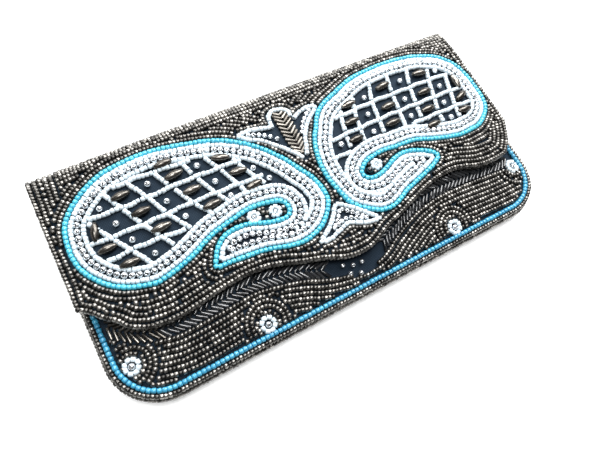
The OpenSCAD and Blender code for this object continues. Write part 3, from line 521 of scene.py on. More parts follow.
def front_face(u, v):
    """Bead tips of the front panel."""
    fall = np.clip((-(HALF_L - FRONT_FALL_L) - v) / FRONT_FALL_L, 0, 1)
    side = 1 - np.clip(np.abs(u) / HALF_W, 0, 1) ** 4
    return np.column_stack([u, v, FRONT_EDGE_H + FRONT_RISE * side * (1 - fall**2)])


def fold_face(u, v):
    """Bead tips of the fold's lower half. v runs down from the crease."""
    wall = CREASE_Z - FOLD_R
    angle = np.maximum(v - wall, 0) / FOLD_R
    y = ARC_Y + FOLD_R * np.cos(angle)
    z = np.where(v < wall, CREASE_Z - v, FOLD_R - FOLD_R * np.sin(angle))
    return np.column_stack([u, y, z])


def wrap_face(u, v):
    """The flap's face and, past the crease, the fold's lower half as one run."""
    past = (v > CREASE_V)[:, None]
    return np.where(past, fold_face(u, np.maximum(v - CREASE_V, 0)), flap_face(u, np.minimum(v, CREASE_V)))


def back_face(u, v):
    """Bead tips of the back, which the bag lies on. v runs towards the bottom edge."""
    return np.column_stack([u, -v, np.zeros(len(u))])


def level_face(u, v):
    """The table's plane, seen from above."""
    return np.column_stack([u, v, np.zeros(len(u))])


def side_face(u, v):
    """The pouch's upright edge. u runs along its outline from the mouth's left end and v is the height."""
    rim = pouch_rim(0, ARC_Y)
    at = np.linspace(0, 1, len(rim))
    return np.column_stack([np.interp(u, at, rim[:, 0]), np.interp(u, at, rim[:, 1]), v])


def unit(v):
    """Vectors brought to unit length."""
    return v / np.maximum(np.linalg.norm(v, axis=1), 1e-9)[:, None]


def slopes(face, u, v):
    """How the points of a face move along u and along v."""
    small = 0.01
    du = (face(u + small, v) - face(u - small, v)) / (2 * small)
    dv = (face(u, v + small) - face(u, v - small)) / (2 * small)
    return du, dv


def seat(face, places, ways, height):
    """Middles, row directions and upward directions of beads that stand on the cloth under a face."""
    u, v = places[:, 0], places[:, 1]
    du, dv = slopes(face, u, v)
    up = unit(np.cross(du, dv))
    along = unit(du * ways[:, :1] + dv * ways[:, 1:])
    return face(u, v) + up * (height - LAYER), along, up


def feed(tree, node, inputs):
    """Gives the inputs of a node their values and links."""
    for key, value in inputs.items():
        if isinstance(value, bpy.types.NodeSocket):
            tree.links.new(value, node.inputs[key])
        else:
            node.inputs[key].default_value = value


def add_node(tree, kind, inputs=None, **settings):
    """A shader node with its settings and what feeds its inputs."""
    node = tree.nodes.new(kind)
    for key, value in settings.items():
        setattr(node, key, value)
    feed(tree, node, inputs or {})
    return node


def new_material(name):
    """A material with its node tree and its main shader."""
    material = bpy.data.materials.new(name)
    material.use_nodes = True
    tree = material.node_tree
    shader = next(n for n in tree.nodes if n.type == "BSDF_PRINCIPLED")
    return material, tree, shader


def set_ramp(ramp, stops):
    """Gives a ramp its colours by position."""
    elements = ramp.color_ramp.elements
    while len(elements) < len(stops):
        elements.new(0.5)
    for element, (position, colour) in zip(elements, stops.items()):
        element.position = position
        element.color = colour


def between(a, b, share):
    """A colour that lies a share of the way from one colour to another."""
    return tuple(p * (1 - share) + q * share for p, q in zip(a, b))


def bead_material(name, stops, metallic, roughness, coat):
    """Glass or plated beads: each bead's own tone comes from its bead_tone attribute."""
    material, tree, shader = new_material(name)
    tone = add_node(tree, "ShaderNodeAttribute", attribute_name="bead_tone")
    ramp = add_node(tree, "ShaderNodeValToRGB", {"Fac": tone.outputs["Fac"]})
    set_ramp(ramp, stops)
    feed(tree, shader, {
        "Base Color": ramp.outputs["Color"], "Metallic": metallic, "Roughness": roughness,
        "Coat Weight": coat, "Coat Roughness": 0.08})
    return material


def satin_material(name, dark, light, thread_mm):
    """Woven satin: fine threads, painted lighter on their crests as painted sheen and darker between them as
    painted shade, with slow patches of painted sheen and shade across the cloth.
    """
    material, tree, shader = new_material(name)
    where = add_node(tree, "ShaderNodeTexCoord")
    warp, weft = (
        add_node(tree, "ShaderNodeTexWave", {
            "Vector": where.outputs["Object"], "Scale": 0.5 / (thread_mm * MM) / math.pi, "Distortion": 1.5,
            "Detail": 2.0, "Detail Scale": 3.0}, bands_direction=axis)
        for axis in "XY")
    weave = add_node(
        tree, "ShaderNodeMath", {0: warp.outputs["Fac"], 1: weft.outputs["Fac"]}, operation="MULTIPLY")
    sheen_patches = add_node(tree, "ShaderNodeTexNoise", {
        "Vector": where.outputs["Object"], "Scale": 1 / (6 * MM), "Detail": 3.0})
    painted_sheen_and_shade = add_node(
        tree, "ShaderNodeMath", {0: weave.outputs[0], 1: sheen_patches.outputs["Fac"]}, operation="MULTIPLY")
    ramp = add_node(tree, "ShaderNodeValToRGB", {"Fac": painted_sheen_and_shade.outputs[0]})
    # The light stop is painted sheen on the thread crests and the slow patches; the dark stop is painted
    # shade between the threads.
    set_ramp(ramp, {0.05: dark, 0.55: light})
    bump = add_node(tree, "ShaderNodeBump", {
        "Height": weave.outputs[0], "Strength": 0.5, "Distance": 0.06 * MM})
    feed(tree, shader, {
        "Base Color": ramp.outputs["Color"], "Normal": bump.outputs["Normal"], "Roughness": 0.65,
        "Specular IOR Level": 0.07})
    return material


def board_material():
    """Non-woven board: pale pressed fibres, matt and slightly mottled."""
    material, tree, shader = new_material("pressed_fibre_board")
    where = add_node(tree, "ShaderNodeTexCoord")
    fibres = add_node(tree, "ShaderNodeTexNoise", {
        "Vector": where.outputs["Object"], "Scale": 1 / (1.2 * MM), "Detail": 5.0, "Distortion": 1.2})
    ramp = add_node(tree, "ShaderNodeValToRGB", {"Fac": fibres.outputs["Fac"]})
    set_ramp(ramp, {0.3: hex_colour("#a49c88"), 0.7: hex_colour("#c9c2b0")})
    bump = add_node(tree, "ShaderNodeBump", {
        "Height": fibres.outputs["Fac"], "Strength": 0.4, "Distance": 0.1 * MM})
    feed(tree, shader, {
        "Base Color": ramp.outputs["Color"], "Normal": bump.outputs["Normal"], "Roughness": 0.9})
    return material


def nickel_material():
    """Nickel-plated pressed steel: smooth and bright, with fine scuffs from opening and closing."""
    material, tree, shader = new_material("nickel_plated_steel")
    where = add_node(tree, "ShaderNodeTexCoord")
    scuffs = add_node(tree, "ShaderNodeTexNoise", {
        "Vector": where.outputs["Object"], "Scale": 1 / (0.8 * MM), "Detail": 6.0, "Roughness": 0.7})
    rough = add_node(tree, "ShaderNodeMapRange", {
        "Value": scuffs.outputs["Fac"], "To Min": 0.18, "To Max": 0.4})
    ramp = add_node(tree, "ShaderNodeValToRGB", {"Fac": scuffs.outputs["Fac"]})
    set_ramp(ramp, {0.3: hex_colour("#a8a9ab"), 0.7: hex_colour("#c6c7c8")})
    feed(tree, shader, {
        "Base Color": ramp.outputs["Color"], "Roughness": rough.outputs["Result"], "Metallic": 0.8})
    return material


def paper_material():
    """Matt white paper: it keeps the bag's shadow and is lifted to white where the camera looks at it."""
    material, tree, shader = new_material("white_paper_sweep")
    path = add_node(tree, "ShaderNodeLightPath")
    where = add_node(tree, "ShaderNodeTexCoord")
    far = add_node(tree, "ShaderNodeVectorMath", {0: where.outputs["Object"]}, operation="LENGTH")
    rise = add_node(tree, "ShaderNodeMapRange", {
        "Value": far.outputs["Value"], "From Min": 0.25, "From Max": 0.9, "To Min": 0.35, "To Max": 1.0})
    seen = add_node(tree, "ShaderNodeMath", {
        0: path.outputs["Is Camera Ray"], 1: rise.outputs["Result"]}, operation="MULTIPLY")
    mirrored = add_node(
        tree, "ShaderNodeMath", {0: path.outputs["Is Glossy Ray"], 1: 0.3}, operation="MULTIPLY")
    lift = add_node(
        tree, "ShaderNodeMath", {0: seen.outputs[0], 1: mirrored.outputs[0]}, operation="MAXIMUM")
    feed(tree, shader, {
        "Base Color": hex_colour("#f4f5f5"), "Roughness": 0.9, "Emission Color": (1, 1, 1, 1),
        "Emission Strength": lift.outputs[0]})
    return material


def make_materials(colours):
    """Every finish of the bag, by name."""
    tone = {name: (*getattr(colours, name), 1.0) for name in ClutchColours.__annotations__}
    gunmetal, dark = tone["gunmetal"], tone["gunmetal_dark"]
    return {
        # Metallic-lined seed glass: near-black sides and a pale grey spot on each bead.
        "gunmetal": bead_material(
            "gunmetal_glass_beads",
            {0: between(dark, gunmetal, 0.1), 0.55: between(dark, gunmetal, 0.42), 1: gunmetal},
            metallic=0.92, roughness=0.32, coat=0.12),
        # Opaque glass: solid colour right through under a fired gloss.
        "turquoise": bead_material(
            "turquoise_opaque_glass",
            {0: between(tone["turquoise"], hex_colour("#1c7fa6"), 0.35), 1: tone["turquoise"]},
            metallic=0.0, roughness=0.25, coat=0.3),
        "border": bead_material(
            "blue_opaque_glass",
            {0: between(tone["border_blue"], hex_colour("#1a5f8c"), 0.4), 1: tone["border_blue"]},
            metallic=0.0, roughness=0.25, coat=0.3),
        "white": bead_material(
            "white_opaque_glass",
            {0: between(tone["white"], hex_colour("#b9cbd6"), 0.35), 1: tone["white"]},
            metallic=0.0, roughness=0.3, coat=0.2),
        # Silver plate on round metal beads: bright, with a dark threading hole.
        "silver": bead_material(
            "silver_plated_beads",
            {0: between(tone["silver"], hex_colour("#8f969e"), 0.4), 1: tone["silver"]},
            metallic=0.9, roughness=0.26, coat=0.0),
        # Antique pewter: brownish grey metal whose flutes stay dark between bright ribs.
        "pewter": bead_material(
            "antique_pewter_beads",
            {0: between(tone["pewter"], hex_colour("#1f1b17"), 0.6), 1: tone["pewter"]},
            metallic=0.9, roughness=0.25, coat=0.0),
        # Cut crystal with a metal back: dark, with a sharp light on single facets.
        "dark_crystal": bead_material(
            "dark_faceted_crystal", {0: hex_colour("#26282d"), 1: hex_colour("#3c3f46")},
            metallic=0.6, roughness=0.08, coat=0.6),
        # Black glass tubes: glossy, with a pale streak along each tube.
        "black": bead_material(
            "black_glass_bugles",
            {0: tone["black"], 1: between(tone["black"], hex_colour("#6d6f72"), 0.3)},
            metallic=0.3, roughness=0.14, coat=0.8),
        # Satin threads are too fine to show, so both cloths draw them a third of a millimetre apart.
        # Each cloth's dark stop, blended toward black, is painted shade between the threads, and its light
        # stop, blended toward a pale grey, is painted sheen.
        "cloth": satin_material(
            "charcoal_satin", between(tone["cloth"], hex_colour("#05080b"), 0.5),
            between(tone["cloth"], hex_colour("#5c6c7a"), 0.16), thread_mm=0.35),
        "lining": satin_material(
            "black_lining_satin", between(tone["lining"], hex_colour("#000000"), 0.4),
            between(tone["lining"], hex_colour("#4a4f57"), 0.3), thread_mm=0.3),
        "board": board_material(),
        "nickel": nickel_material(),
        "paper": paper_material(),
    }


# Filled by main with the finishes, by name.
MATERIALS = {}


def new_object(name, data):
    """An object at the origin for a mesh, a lamp or the camera."""
    obj = bpy.data.objects.new(name, data)
    bpy.context.scene.collection.objects.link(obj)
    return obj


def new_piece(name, bm, material):
    """A piece with a smooth surface in one finish."""
    mesh = bpy.data.meshes.new(name)
    bm.to_mesh(mesh)
    bm.free()
    mesh.shade_smooth()
    mesh.materials.append(MATERIALS[material])
    return new_object(name, mesh)


def profile(left, middle=()):
    """A bead's profile from its left end and its middle: places along the hole and radii."""
    return [*left, *middle, *((-x, r) for x, r in reversed(left))]


def spun_bead(outline, segments):
    """A bead of unit size turned about its hole, which runs along X, as arrays of vertices and faces."""
    bm = bmesh.new()
    verts = [bm.verts.new((x, 0, r)) for x, r in outline]
    edges = [bm.edges.new((a, b)) for a, b in zip(verts, verts[1:] + verts[:1])]
    bmesh.ops.spin(
        bm, geom=verts + edges, cent=(0, 0, 0), axis=(1, 0, 0), angle=math.tau, steps=segments,
        use_merge=True)
    bmesh.ops.remove_doubles(bm, verts=bm.verts, dist=1e-5)
    bmesh.ops.recalc_face_normals(bm, faces=bm.faces)
    bm.verts.ensure_lookup_table()
    verts = np.array([v.co[:] for v in bm.verts])
    faces = [[v.index for v in f.verts] for f in bm.faces]
    bm.free()
    return verts, faces


def oat_bead(flutes=7):
    """A spindle with flutes along it."""
    outline = profile([(-0.5, 0.12), (-0.5, 0.21), (-0.36, 0.33), (-0.18, 0.45)], [(0, 0.5)])
    verts, faces = spun_bead(outline, flutes * 2)
    angle = np.arctan2(verts[:, 1], verts[:, 2])
    groove = 1 - 0.28 * (np.cos(angle * flutes) < 0) * (np.hypot(verts[:, 1], verts[:, 2]) > 0.2)
    verts[:, 1:] *= groove[:, None]
    return verts, faces


BALL = [(0.5 * math.sin(a), 0.5 * math.cos(a)) for a in np.radians([-75, -50, -25])]
SHAPES = {
    # A rounded ring of glass with its hole.
    "seed": spun_bead(profile([(-0.5, 0.2), (-0.5, 0.35), (-0.32, 0.5)]), 8),
    # A short cut tube with barely rounded ends.
    "tube": spun_bead(profile([(-0.5, 0.2), (-0.5, 0.38), (-0.37, 0.49)]), 8),
    # A ball whose rims are drawn in to its hole.
    "round": spun_bead(profile([(-0.3, 0.1), *BALL], [(0.0, 0.5)]), 12),
    "oat": oat_bead(),
    # A thin glass tube with its hole.
    "bugle": spun_bead(profile([(-0.5, 0.24), (-0.5, 0.47), (-0.46, 0.5)]), 6),
    # A ball cut in flat facets.
    "crystal": spun_bead(profile([(-0.42, 0.12), (-0.42, 0.22), (-0.2, 0.44)]), 8),
}
# Shapes whose flutes or facets stay sharp.
CUT_SHAPES = ("oat", "crystal")


def tile(name, shape, middle, along, up, size, tone, material):
    """One mesh that holds a copy of a bead shape at each place, with sizes along, across and up."""
    verts, faces = SHAPES[shape]
    count, n = len(middle), len(verts)
    across = unit(np.cross(up, along))
    lifted = unit(np.cross(along, across))
    local = verts[None, :, :] * size[:, None, :]
    placed = (
        middle[:, None, :] + local[:, :, :1] * along[:, None, :] + local[:, :, 1:2] * across[:, None, :]
        + local[:, :, 2:] * lifted[:, None, :])
    sides = np.array([len(f) for f in faces])
    corners = np.concatenate([np.array(f) for f in faces])
    copy = np.arange(count)[:, None]
    loops = (corners[None, :] + n * copy).ravel()
    starts = (np.concatenate([[0], np.cumsum(sides)[:-1]])[None, :] + sides.sum() * copy).ravel()
    mesh = bpy.data.meshes.new(name)
    mesh.vertices.add(count * n)
    mesh.vertices.foreach_set("co", (placed * MM).astype(np.float32).ravel())
    mesh.loops.add(len(loops))
    mesh.loops.foreach_set("vertex_index", loops.astype(np.int32))
    mesh.polygons.add(count * len(faces))
    mesh.polygons.foreach_set("loop_start", starts.astype(np.int32))
    mesh.update(calc_edges=True)
    if shape not in CUT_SHAPES:
        mesh.shade_smooth()
    attribute = mesh.attributes.new("bead_tone", "FLOAT", "POINT")
    attribute.data.foreach_set("value", np.repeat(tone, n).astype(np.float32))
    mesh.materials.append(MATERIALS[material])
    mesh.validate()
    return new_object(name, mesh)


class Beads:
    """Beads of one kind gathered from many rows, made into pieces at the end."""

    def __init__(self, shape, length, diameter, jitter=0.05, tilt=0.06, spread=0.03):
        self.shape, self.length, self.diameter = shape, length, diameter
        self.jitter, self.tilt, self.spread = jitter, tilt, spread
        self.rows = []

    def seated(self, face, places, ways):
        """Where beads stand on the cloth under a face, each a little off its place."""
        places = places + random.normal(0, self.jitter, places.shape)
        return seat(face, places, ways, self.diameter / 2 - 0.05)

    def add(self, face, places, ways, length=None):
        """Beads on the cloth under a face, with their holes along the row."""
        if len(places):
            self.place(*self.seated(face, places, ways), length)

    def place(self, middle, along, up, length=None):
        """Beads at their middles, each with its own small tilt, size and tone."""
        count = len(middle)
        lean = random.normal(0, self.tilt, (count, 3))
        size = np.tile([length or self.length, self.diameter, self.diameter], (count, 1))
        size = size * random.normal(1, self.spread, (count, 1))
        self.rows.append((middle, unit(along + lean), up, size, random.random(count)))

    def pieces(self, name, material, body, slot, nodes, parts=1):
        """Makes the pieces, cut into so many parts across the bag."""
        middle, along, up, size, tone = (np.concatenate([r[k] for r in self.rows]) for k in range(5))
        order = np.argsort(middle[:, 0], kind="stable")
        for k, chosen in enumerate(np.array_split(order, parts)):
            part = tile(
                name if parts == 1 else f"{name}_{k + 1}", self.shape, middle[chosen], along[chosen],
                up[chosen], size[chosen], tone[chosen], material)
            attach(part, body)
            if k == 0 and nodes:
                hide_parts(*nodes)


class HoleUpBeads(Beads):
    """Round beads whose holes face up and lean a little towards the front left."""

    def __init__(self, diameter):
        super().__init__("round", diameter, diameter, tilt=0.0)

    def add(self, face, places, ways):
        """Beads on the cloth under a face, with their holes away from it."""
        if len(places):
            middle, along, up = self.seated(face, places, ways)
            lean = random.normal(0, 0.12, (len(places), 3)) + np.array([-0.22, -0.2, 0])
            self.place(middle, unit(up + lean), along)


def seed_beads(sizes):
    """Gunmetal seed beads, nearly touching along their row."""
    return Beads("seed", sizes.seed_pitch * 0.95, sizes.seed_diameter)


def white_beads(sizes):
    """White cut beads, less even than the others."""
    return Beads(
        "tube", sizes.white_pitch * 0.94, sizes.white_diameter, jitter=0.08, tilt=0.1, spread=0.045)


def turquoise_beads(sizes):
    """Turquoise or blue cut beads."""
    return Beads("tube", sizes.turquoise_pitch * 0.93, sizes.turquoise_diameter, jitter=0.04)


LEFT_LINE = counterclockwise(smooth_curve(LEFT_PAISLEY, True))
RIGHT_LINE = counterclockwise(smooth_curve(RIGHT_PAISLEY, True))
TAIL_ROW = counterclockwise(smooth_curve(TAIL_LINE, True))
FIELD_LINE = counterclockwise(smooth_curve(MOTIF_FIELD, True))
ALMOND_EDGE = smooth_curve(ALMOND, True)
EDGE_LINE = smooth_curve(FLAP_EDGE)
HERRING_SPINE = smooth_curve(HERRING_LINE)


def flap_rim():
    """The flap's rim from the left end of the crease, down, along its lower edge and up to the right end."""
    left = np.column_stack([np.full(2, -HALF_W), [CREASE_V, FLAP_EDGE[0][1]]])
    right = np.column_stack([np.full(2, HALF_W), [FLAP_EDGE[-1][1], CREASE_V]])
    return spaced(np.vstack([left, EDGE_LINE, right]), 0.25, False)


def pouch_rim(inset, top):
    """The pouch's outline at an inset, from the left end of the mouth round the bottom to the right end."""
    r, w, low = CORNER_R - inset, HALF_W - inset, -HALF_L + inset
    turn = np.radians(np.arange(180, 271, 3))
    left = np.column_stack([-w + r + r * np.cos(turn), low + r + r * np.sin(turn)])
    right = left[::-1] * [-1, 1]
    return spaced(np.vstack([[[-w, top]], left, right, [[w, top]]]), 0.25, False)


FLAP_RIM = flap_rim()
BORDER_LINE = pouch_rim(BORDER_INSET, MOUTH_Y)


def edge_height(x):
    """The flap's lower edge at each place across the bag."""
    return np.interp(x, EDGE_LINE[:, 0], EDGE_LINE[:, 1])


def on_flap(places):
    """Where the flap carries gunmetal rows: inside its rim and outside the motifs."""
    x, v = places[:, 0], places[:, 1]
    ok = (np.abs(x) < HALF_W - FLAP_MARGIN + 0.01) & (v > edge_height(x))
    ok &= v < CREASE_V - FLAP_MARGIN + 0.01
    ok &= distance(places, FLAP_RIM) > FLAP_MARGIN - 0.05
    for line in (LEFT_LINE, RIGHT_LINE, TAIL_ROW, FIELD_LINE):
        ok &= ~inside(places, line)
    return ok


def on_front(places):
    """Where the front panel carries gunmetal rows: inside its border and below the herringbone."""
    x, y = places[:, 0], places[:, 1]
    ok = (distance(places, BORDER_LINE) > BORDER_ROOM) & inside(places, BORDER_LINE)
    spine = HERRING_SPINE[HERRING_SPINE[:, 0] < HERRING_END_X]
    past_end = (x > CORNER_X) & (y < CORNER_Y)
    ok &= (y < np.interp(x, HERRING_SPINE[:, 0], HERRING_SPINE[:, 1])) | past_end
    ok &= distance(places, spine) > HERRING_ROOM
    return ok & ~inside(places, ALMOND_EDGE)


def wander(places):
    """How far hand-laid rows stray from even ones, in a way that neighbouring rows share."""
    x, y = places[:, 0], places[:, 1]
    sideways, along = np.sin(y / 7.3 + 1.7 * np.sin(x / 11)), np.sin(x / 8.1 + 1.3 * np.sin(y / 9.7))
    return 0.3 * np.column_stack([sideways, along])


def echo_rows(ground, beads, line, distances, pitch, room, region, face=flap_face, closed=True, stray=False):
    """Rows that echo a line at each distance, laid where there is still room. Gives back their places."""
    laid = [np.zeros((0, 2))]
    for k, away in enumerate(distances):
        for run, whole in echo(line, away, closed):
            places, ways = string_beads(run, pitch, whole)
            if stray and k:
                places = places + wander(places)
            places, ways = ground.lay(places, ways, room, region)
            beads.add(face, places, ways)
            laid.append(places)
    return np.vstack(laid)


class Cover:
    """The gunmetal rows of one face, laid in a region round its flowers and motifs."""

    def __init__(self, sizes, face, region):
        self.sizes, self.face, self.region = sizes, face, region
        self.ground, self.beads = Ground(), seed_beads(sizes)

    def flowers(self, centres, silver_size, ring, petals):
        """Rings of white beads, each round a silver one."""
        white, silver = white_beads(self.sizes), HoleUpBeads(silver_size)
        out = headings(np.arange(petals) * math.tau / petals + 0.2)
        length = math.tau * ring / petals * 0.97
        for centre in np.array(centres):
            white.add(self.face, centre + ring * out, np.column_stack([-out[:, 1], out[:, 0]]), length)
            silver.add(self.face, centre[None, :], headings(np.zeros(1)))
            self.ground.claim([centre], ring + 1.1)
        return white, silver

    def rows(self, line, first, count, closed=False, side=1, pitch=None):
        """Rows beside a line, from a first distance on."""
        distances = side * (first + (pitch or self.sizes.row_pitch) * np.arange(count))
        room = self.sizes.seed_diameter / 2 - 0.06
        echo_rows(
            self.ground, self.beads, line, distances, self.sizes.seed_pitch, room, self.region, self.face,
            closed, stray=True)

    def scatter(self, low, high, step=0.5):
        """Single beads wherever the rows have left room for one."""
        xs, ys = (np.arange(a, b, step) for a, b in zip(low, high))
        grid = np.stack(np.meshgrid(xs, ys), -1).reshape(-1, 2)
        grid = grid[[self.ground.free(p, SINGLE_ROOM) for p in grid]]
        kept = []
        for p in random.permutation(grid[self.region(grid)]):
            if self.ground.free(p, SINGLE_ROOM):
                self.ground.claim([p], SINGLE_ROOM)
                kept.append(p)
        turn = random.uniform(-0.5, 0.5, len(kept))
        self.beads.add(self.face, np.array(kept).reshape(-1, 2), headings(turn))


class CLUTCH_OT_flap_ground(bpy.types.Operator):
    """Lays the gunmetal rows of the flap and the flowers in the two curls"""

    bl_idname = "clutch.flap_ground"
    bl_label = "Flap ground"

    def execute(self, context):
        sizes = sizes_in_mm(context)
        cover = Cover(sizes, flap_face, on_flap)
        for line, room in ((LEFT_LINE, TURQUOISE_ROOM), (RIGHT_LINE, TURQUOISE_ROOM), (TAIL_ROW, 1.05)):
            cover.ground.claim(spaced(line, 1.0, True), room)
        white, silver = cover.flowers(LEFT_CURL_FLOWERS, SILVER["curl"], ring=2.2, petals=7)
        right_white, right_silver = cover.flowers([RIGHT_CURL_FLOWER], SILVER["curl"], ring=2.1, petals=6)
        dark = Beads("crystal", 3.6, 3.8, jitter=0, tilt=0.02)
        dark.add(flap_face, np.array([RIGHT_CURL_BEAD]), np.array([[0.3, 1.0]]))
        cover.ground.claim([RIGHT_CURL_BEAD], 2.0)
        self.lay_rows(sizes, cover)
        cover.scatter((-HALF_W, TIP_Y), (HALF_W, CREASE_V))
        self.roll_over_rim(sizes, cover.beads)
        cover.beads.pieces("flap_seed_beads", "gunmetal", "flap", "gunmetal_beads", ["flap_beads"], 3)
        white.pieces("left_curl_white_beads", "white", "flap", "white_beads", ["left_curl_flowers"])
        silver.pieces("left_curl_silver_beads", "silver", "flap", "silver_beads", [])
        right_white.pieces("right_curl_white_beads", "white", "flap", "white_beads", ["right_curl_beads"])
        right_silver.pieces("right_curl_silver_bead", "silver", "flap", "silver_beads", [])
        dark.pieces("right_curl_crystal", "dark_crystal", "flap", "black_bugles", [])
        return {"FINISHED"}

    def lay_rows(self, sizes, cover):
        """Rows along the rim, round the motifs and along the crease. The first ones laid take the room."""
        start = sizes.turquoise_diameter / 2 + sizes.seed_diameter / 2
        pitch = sizes.row_pitch
        crease = spaced(np.array([[HALF_W, CREASE_V], [-HALF_W, CREASE_V]]), 0.4, False)
        cover.rows(FLAP_RIM, RIM_FIRST, 2)
        for line in (LEFT_LINE, RIGHT_LINE):
            cover.rows(line, start, 2, closed=True, side=-1)
        cover.rows(FIELD_LINE, 1.0, 1, closed=True, side=-1)
        cover.rows(TAIL_ROW, start, 1, closed=True, side=-1)
        cover.rows(FLAP_RIM, RIM_FIRST + 2 * pitch, 3)
        cover.rows(crease, CREASE_FIRST, 6)
        for line in (LEFT_LINE, RIGHT_LINE):
            cover.rows(line, start + 2 * pitch, 6, closed=True, side=-1)
        cover.rows(crease, CREASE_FIRST + 3 * pitch, 60, pitch=pitch * 0.5)

    def roll_over_rim(self, sizes, beads):
        """A row that rolls over the flap's rim and covers the edges of its layers."""
        for run, whole in echo(FLAP_RIM, 0.9, False):
            places, ways = string_beads(run[run[:, 1] < ARC_Y], sizes.seed_pitch, whole)
            middle, along, up = seat(flap_face, places, ways, LAYER - 2.85)
            beads.place(middle + random.normal(0, 0.05, middle.shape), along, up)


class CLUTCH_OT_paisleys(bpy.types.Operator):
    """Lays the turquoise, white and silver rows of the two paisleys, their trellises and what fills them"""

    bl_idname = "clutch.paisleys"
    bl_label = "Paisleys"

    def execute(self, context):
        sizes = sizes_in_mm(context)
        self.paisley(sizes, "left", LEFT_LINE, LEFT_TRELLIS, LEFT_OATS, LEFT_ROUNDS)
        self.paisley(sizes, "right", RIGHT_LINE, RIGHT_TRELLIS, RIGHT_OATS, RIGHT_ROUNDS)
        return {"FINISHED"}

    def paisley(self, sizes, side, line, trellis, oats, rounds):
        """One paisley: its rows from the outside in, then the trellis and the beads in its cells."""
        turquoise, outer, inner = turquoise_beads(sizes), white_beads(sizes), white_beads(sizes)
        silver, ball, ground = HoleUpBeads(sizes.silver_diameter), HoleUpBeads(SILVER["cell"]), Ground()

        def within(places):
            return inside(places, line)

        turquoise.add(flap_face, *string_beads(line, sizes.turquoise_pitch, True))
        echo_rows(ground, outer, line, OUTER_WHITE, sizes.white_pitch, WHITE_ROOM, within)
        echo_rows(ground, silver, line, SILVER_ROW, sizes.silver_pitch, SILVER_ROOM, within)
        field = echo_rows(ground, inner, line, INNER_WHITE, sizes.white_pitch, WHITE_ROOM, within)

        def past_field(places):
            return within(places) & (distance(places, field) > EXTRA_SILVER_GAP)

        echo_rows(ground, silver, line, EXTRA_SILVER, sizes.silver_pitch * 0.9, 1.2, past_field)
        cells = self.trellis(sizes, line, trellis, field)
        oat = Beads("oat", sizes.oat_length, sizes.oat_diameter, jitter=0.1, tilt=0.02)
        x, y, turn = np.array(oats, float).T
        oat.add(flap_face, np.column_stack([x, y]), headings(np.radians(turn)))
        ball.add(flap_face, np.array(rounds, float), headings(np.zeros(len(rounds))))
        for beads, name, material, slot, node in (
                (turquoise, "turquoise_beads", "turquoise", "turquoise_beads", "paisley_outline"),
                (outer, "outer_white_beads", "white", "white_beads", "paisley_outer_row"),
                (inner, "inner_white_beads", "white", "white_beads", "paisley_inner_row"),
                (silver, "silver_row_beads", "silver", "silver_beads", "paisley_silver"),
                (cells, "trellis_beads", "white", "white_beads", "trellis"),
                (oat, "fluted_oat_beads", "pewter", "pewter_beads", "oat_beads"),
                (ball, "cell_silver_beads", "silver", "silver_beads", "round_beads")):
            beads.pieces(f"{side}_{name}", material, "flap", slot, [f"{side}_{node}"])

    def trellis(self, sizes, line, trellis, field):
        """The white rows that cross inside a paisley, up to its field of inner rows."""
        cells, ground = white_beads(sizes), Ground()
        ground.claim(field, 0.7)

        def clear(places):
            return inside(places, line) & (distance(places, line) > TRELLIS_MARGIN)

        for row in trellis:
            run = spaced(smooth_curve(row), 0.3, False)
            run = run + np.column_stack([np.zeros(len(run)), 0.25 * np.sin(run[:, 0] * 0.5)])
            places, ways = string_beads(run, sizes.white_pitch)
            cells.add(flap_face, *ground.lay(places, ways, TRELLIS_ROOM, clear))
        return cells


class CLUTCH_OT_leaf(bpy.types.Operator):
    """Lays the leaf with its two petals, and the three-cornered motif under it"""

    bl_idname = "clutch.leaf"
    bl_label = "Leaf and tail"

    def execute(self, context):
        sizes = sizes_in_mm(context)
        outline, petals = white_beads(sizes), HoleUpBeads(SILVER["petal"])
        for row in (LEAF_LINE, LEFT_PETAL_TOP, LEFT_PETAL_FOOT, RIGHT_PETAL_TOP, RIGHT_PETAL_FOOT):
            outline.add(flap_face, *string_beads(smooth_curve(row), sizes.white_pitch))
        petals.add(flap_face, np.array(PETAL_SILVER), headings(np.zeros(len(PETAL_SILVER))))
        bugles = self.leaf_bugles(sizes)
        tail, fill, ground = white_beads(sizes), HoleUpBeads(SILVER["tail"]), Ground()

        def within(places):
            return inside(places, TAIL_ROW)

        tail.add(flap_face, *string_beads(TAIL_ROW, sizes.white_pitch, True))
        ground.claim(spaced(TAIL_ROW, 1.0, True), 1.0)
        echo_rows(ground, fill, TAIL_ROW, TAIL_SILVER, TAIL_PITCH, TAIL_ROOM, within)
        outline.pieces("leaf_white_beads", "white", "flap", "white_beads", ["leaf_outline"])
        petals.pieces("petal_silver_beads", "silver", "flap", "silver_beads", ["petal_beads"])
        bugles.pieces("leaf_bugle_beads", "pewter", "flap", "pewter_beads", ["leaf_bugles"])
        tail.pieces("tail_white_beads", "white", "flap", "white_beads", ["tail_outline"])
        fill.pieces("tail_silver_beads", "silver", "flap", "silver_beads", ["tail_beads"])
        return {"FINISHED"}

    def leaf_bugles(self, sizes):
        """Pairs of bugles that lean up and out from the leaf's middle line."""
        bugles = Beads("bugle", sizes.leaf_bugle_length, sizes.leaf_bugle_diameter, tilt=0.04)
        height = np.arange(LEAF_TOP, LEAF_FOOT, -LEAF_PITCH)
        reach = np.where(height > 22, LEAF_REACH, LEAF_REACH * (height - 12) / 10)
        for side in (-1, 1):
            middle = np.column_stack([LEAF_MIDDLE_X + side * (0.35 + reach), height + 0.8])
            bugles.add(flap_face, middle, headings(np.full(len(height), side * LEAF_LEAN)))
        return bugles


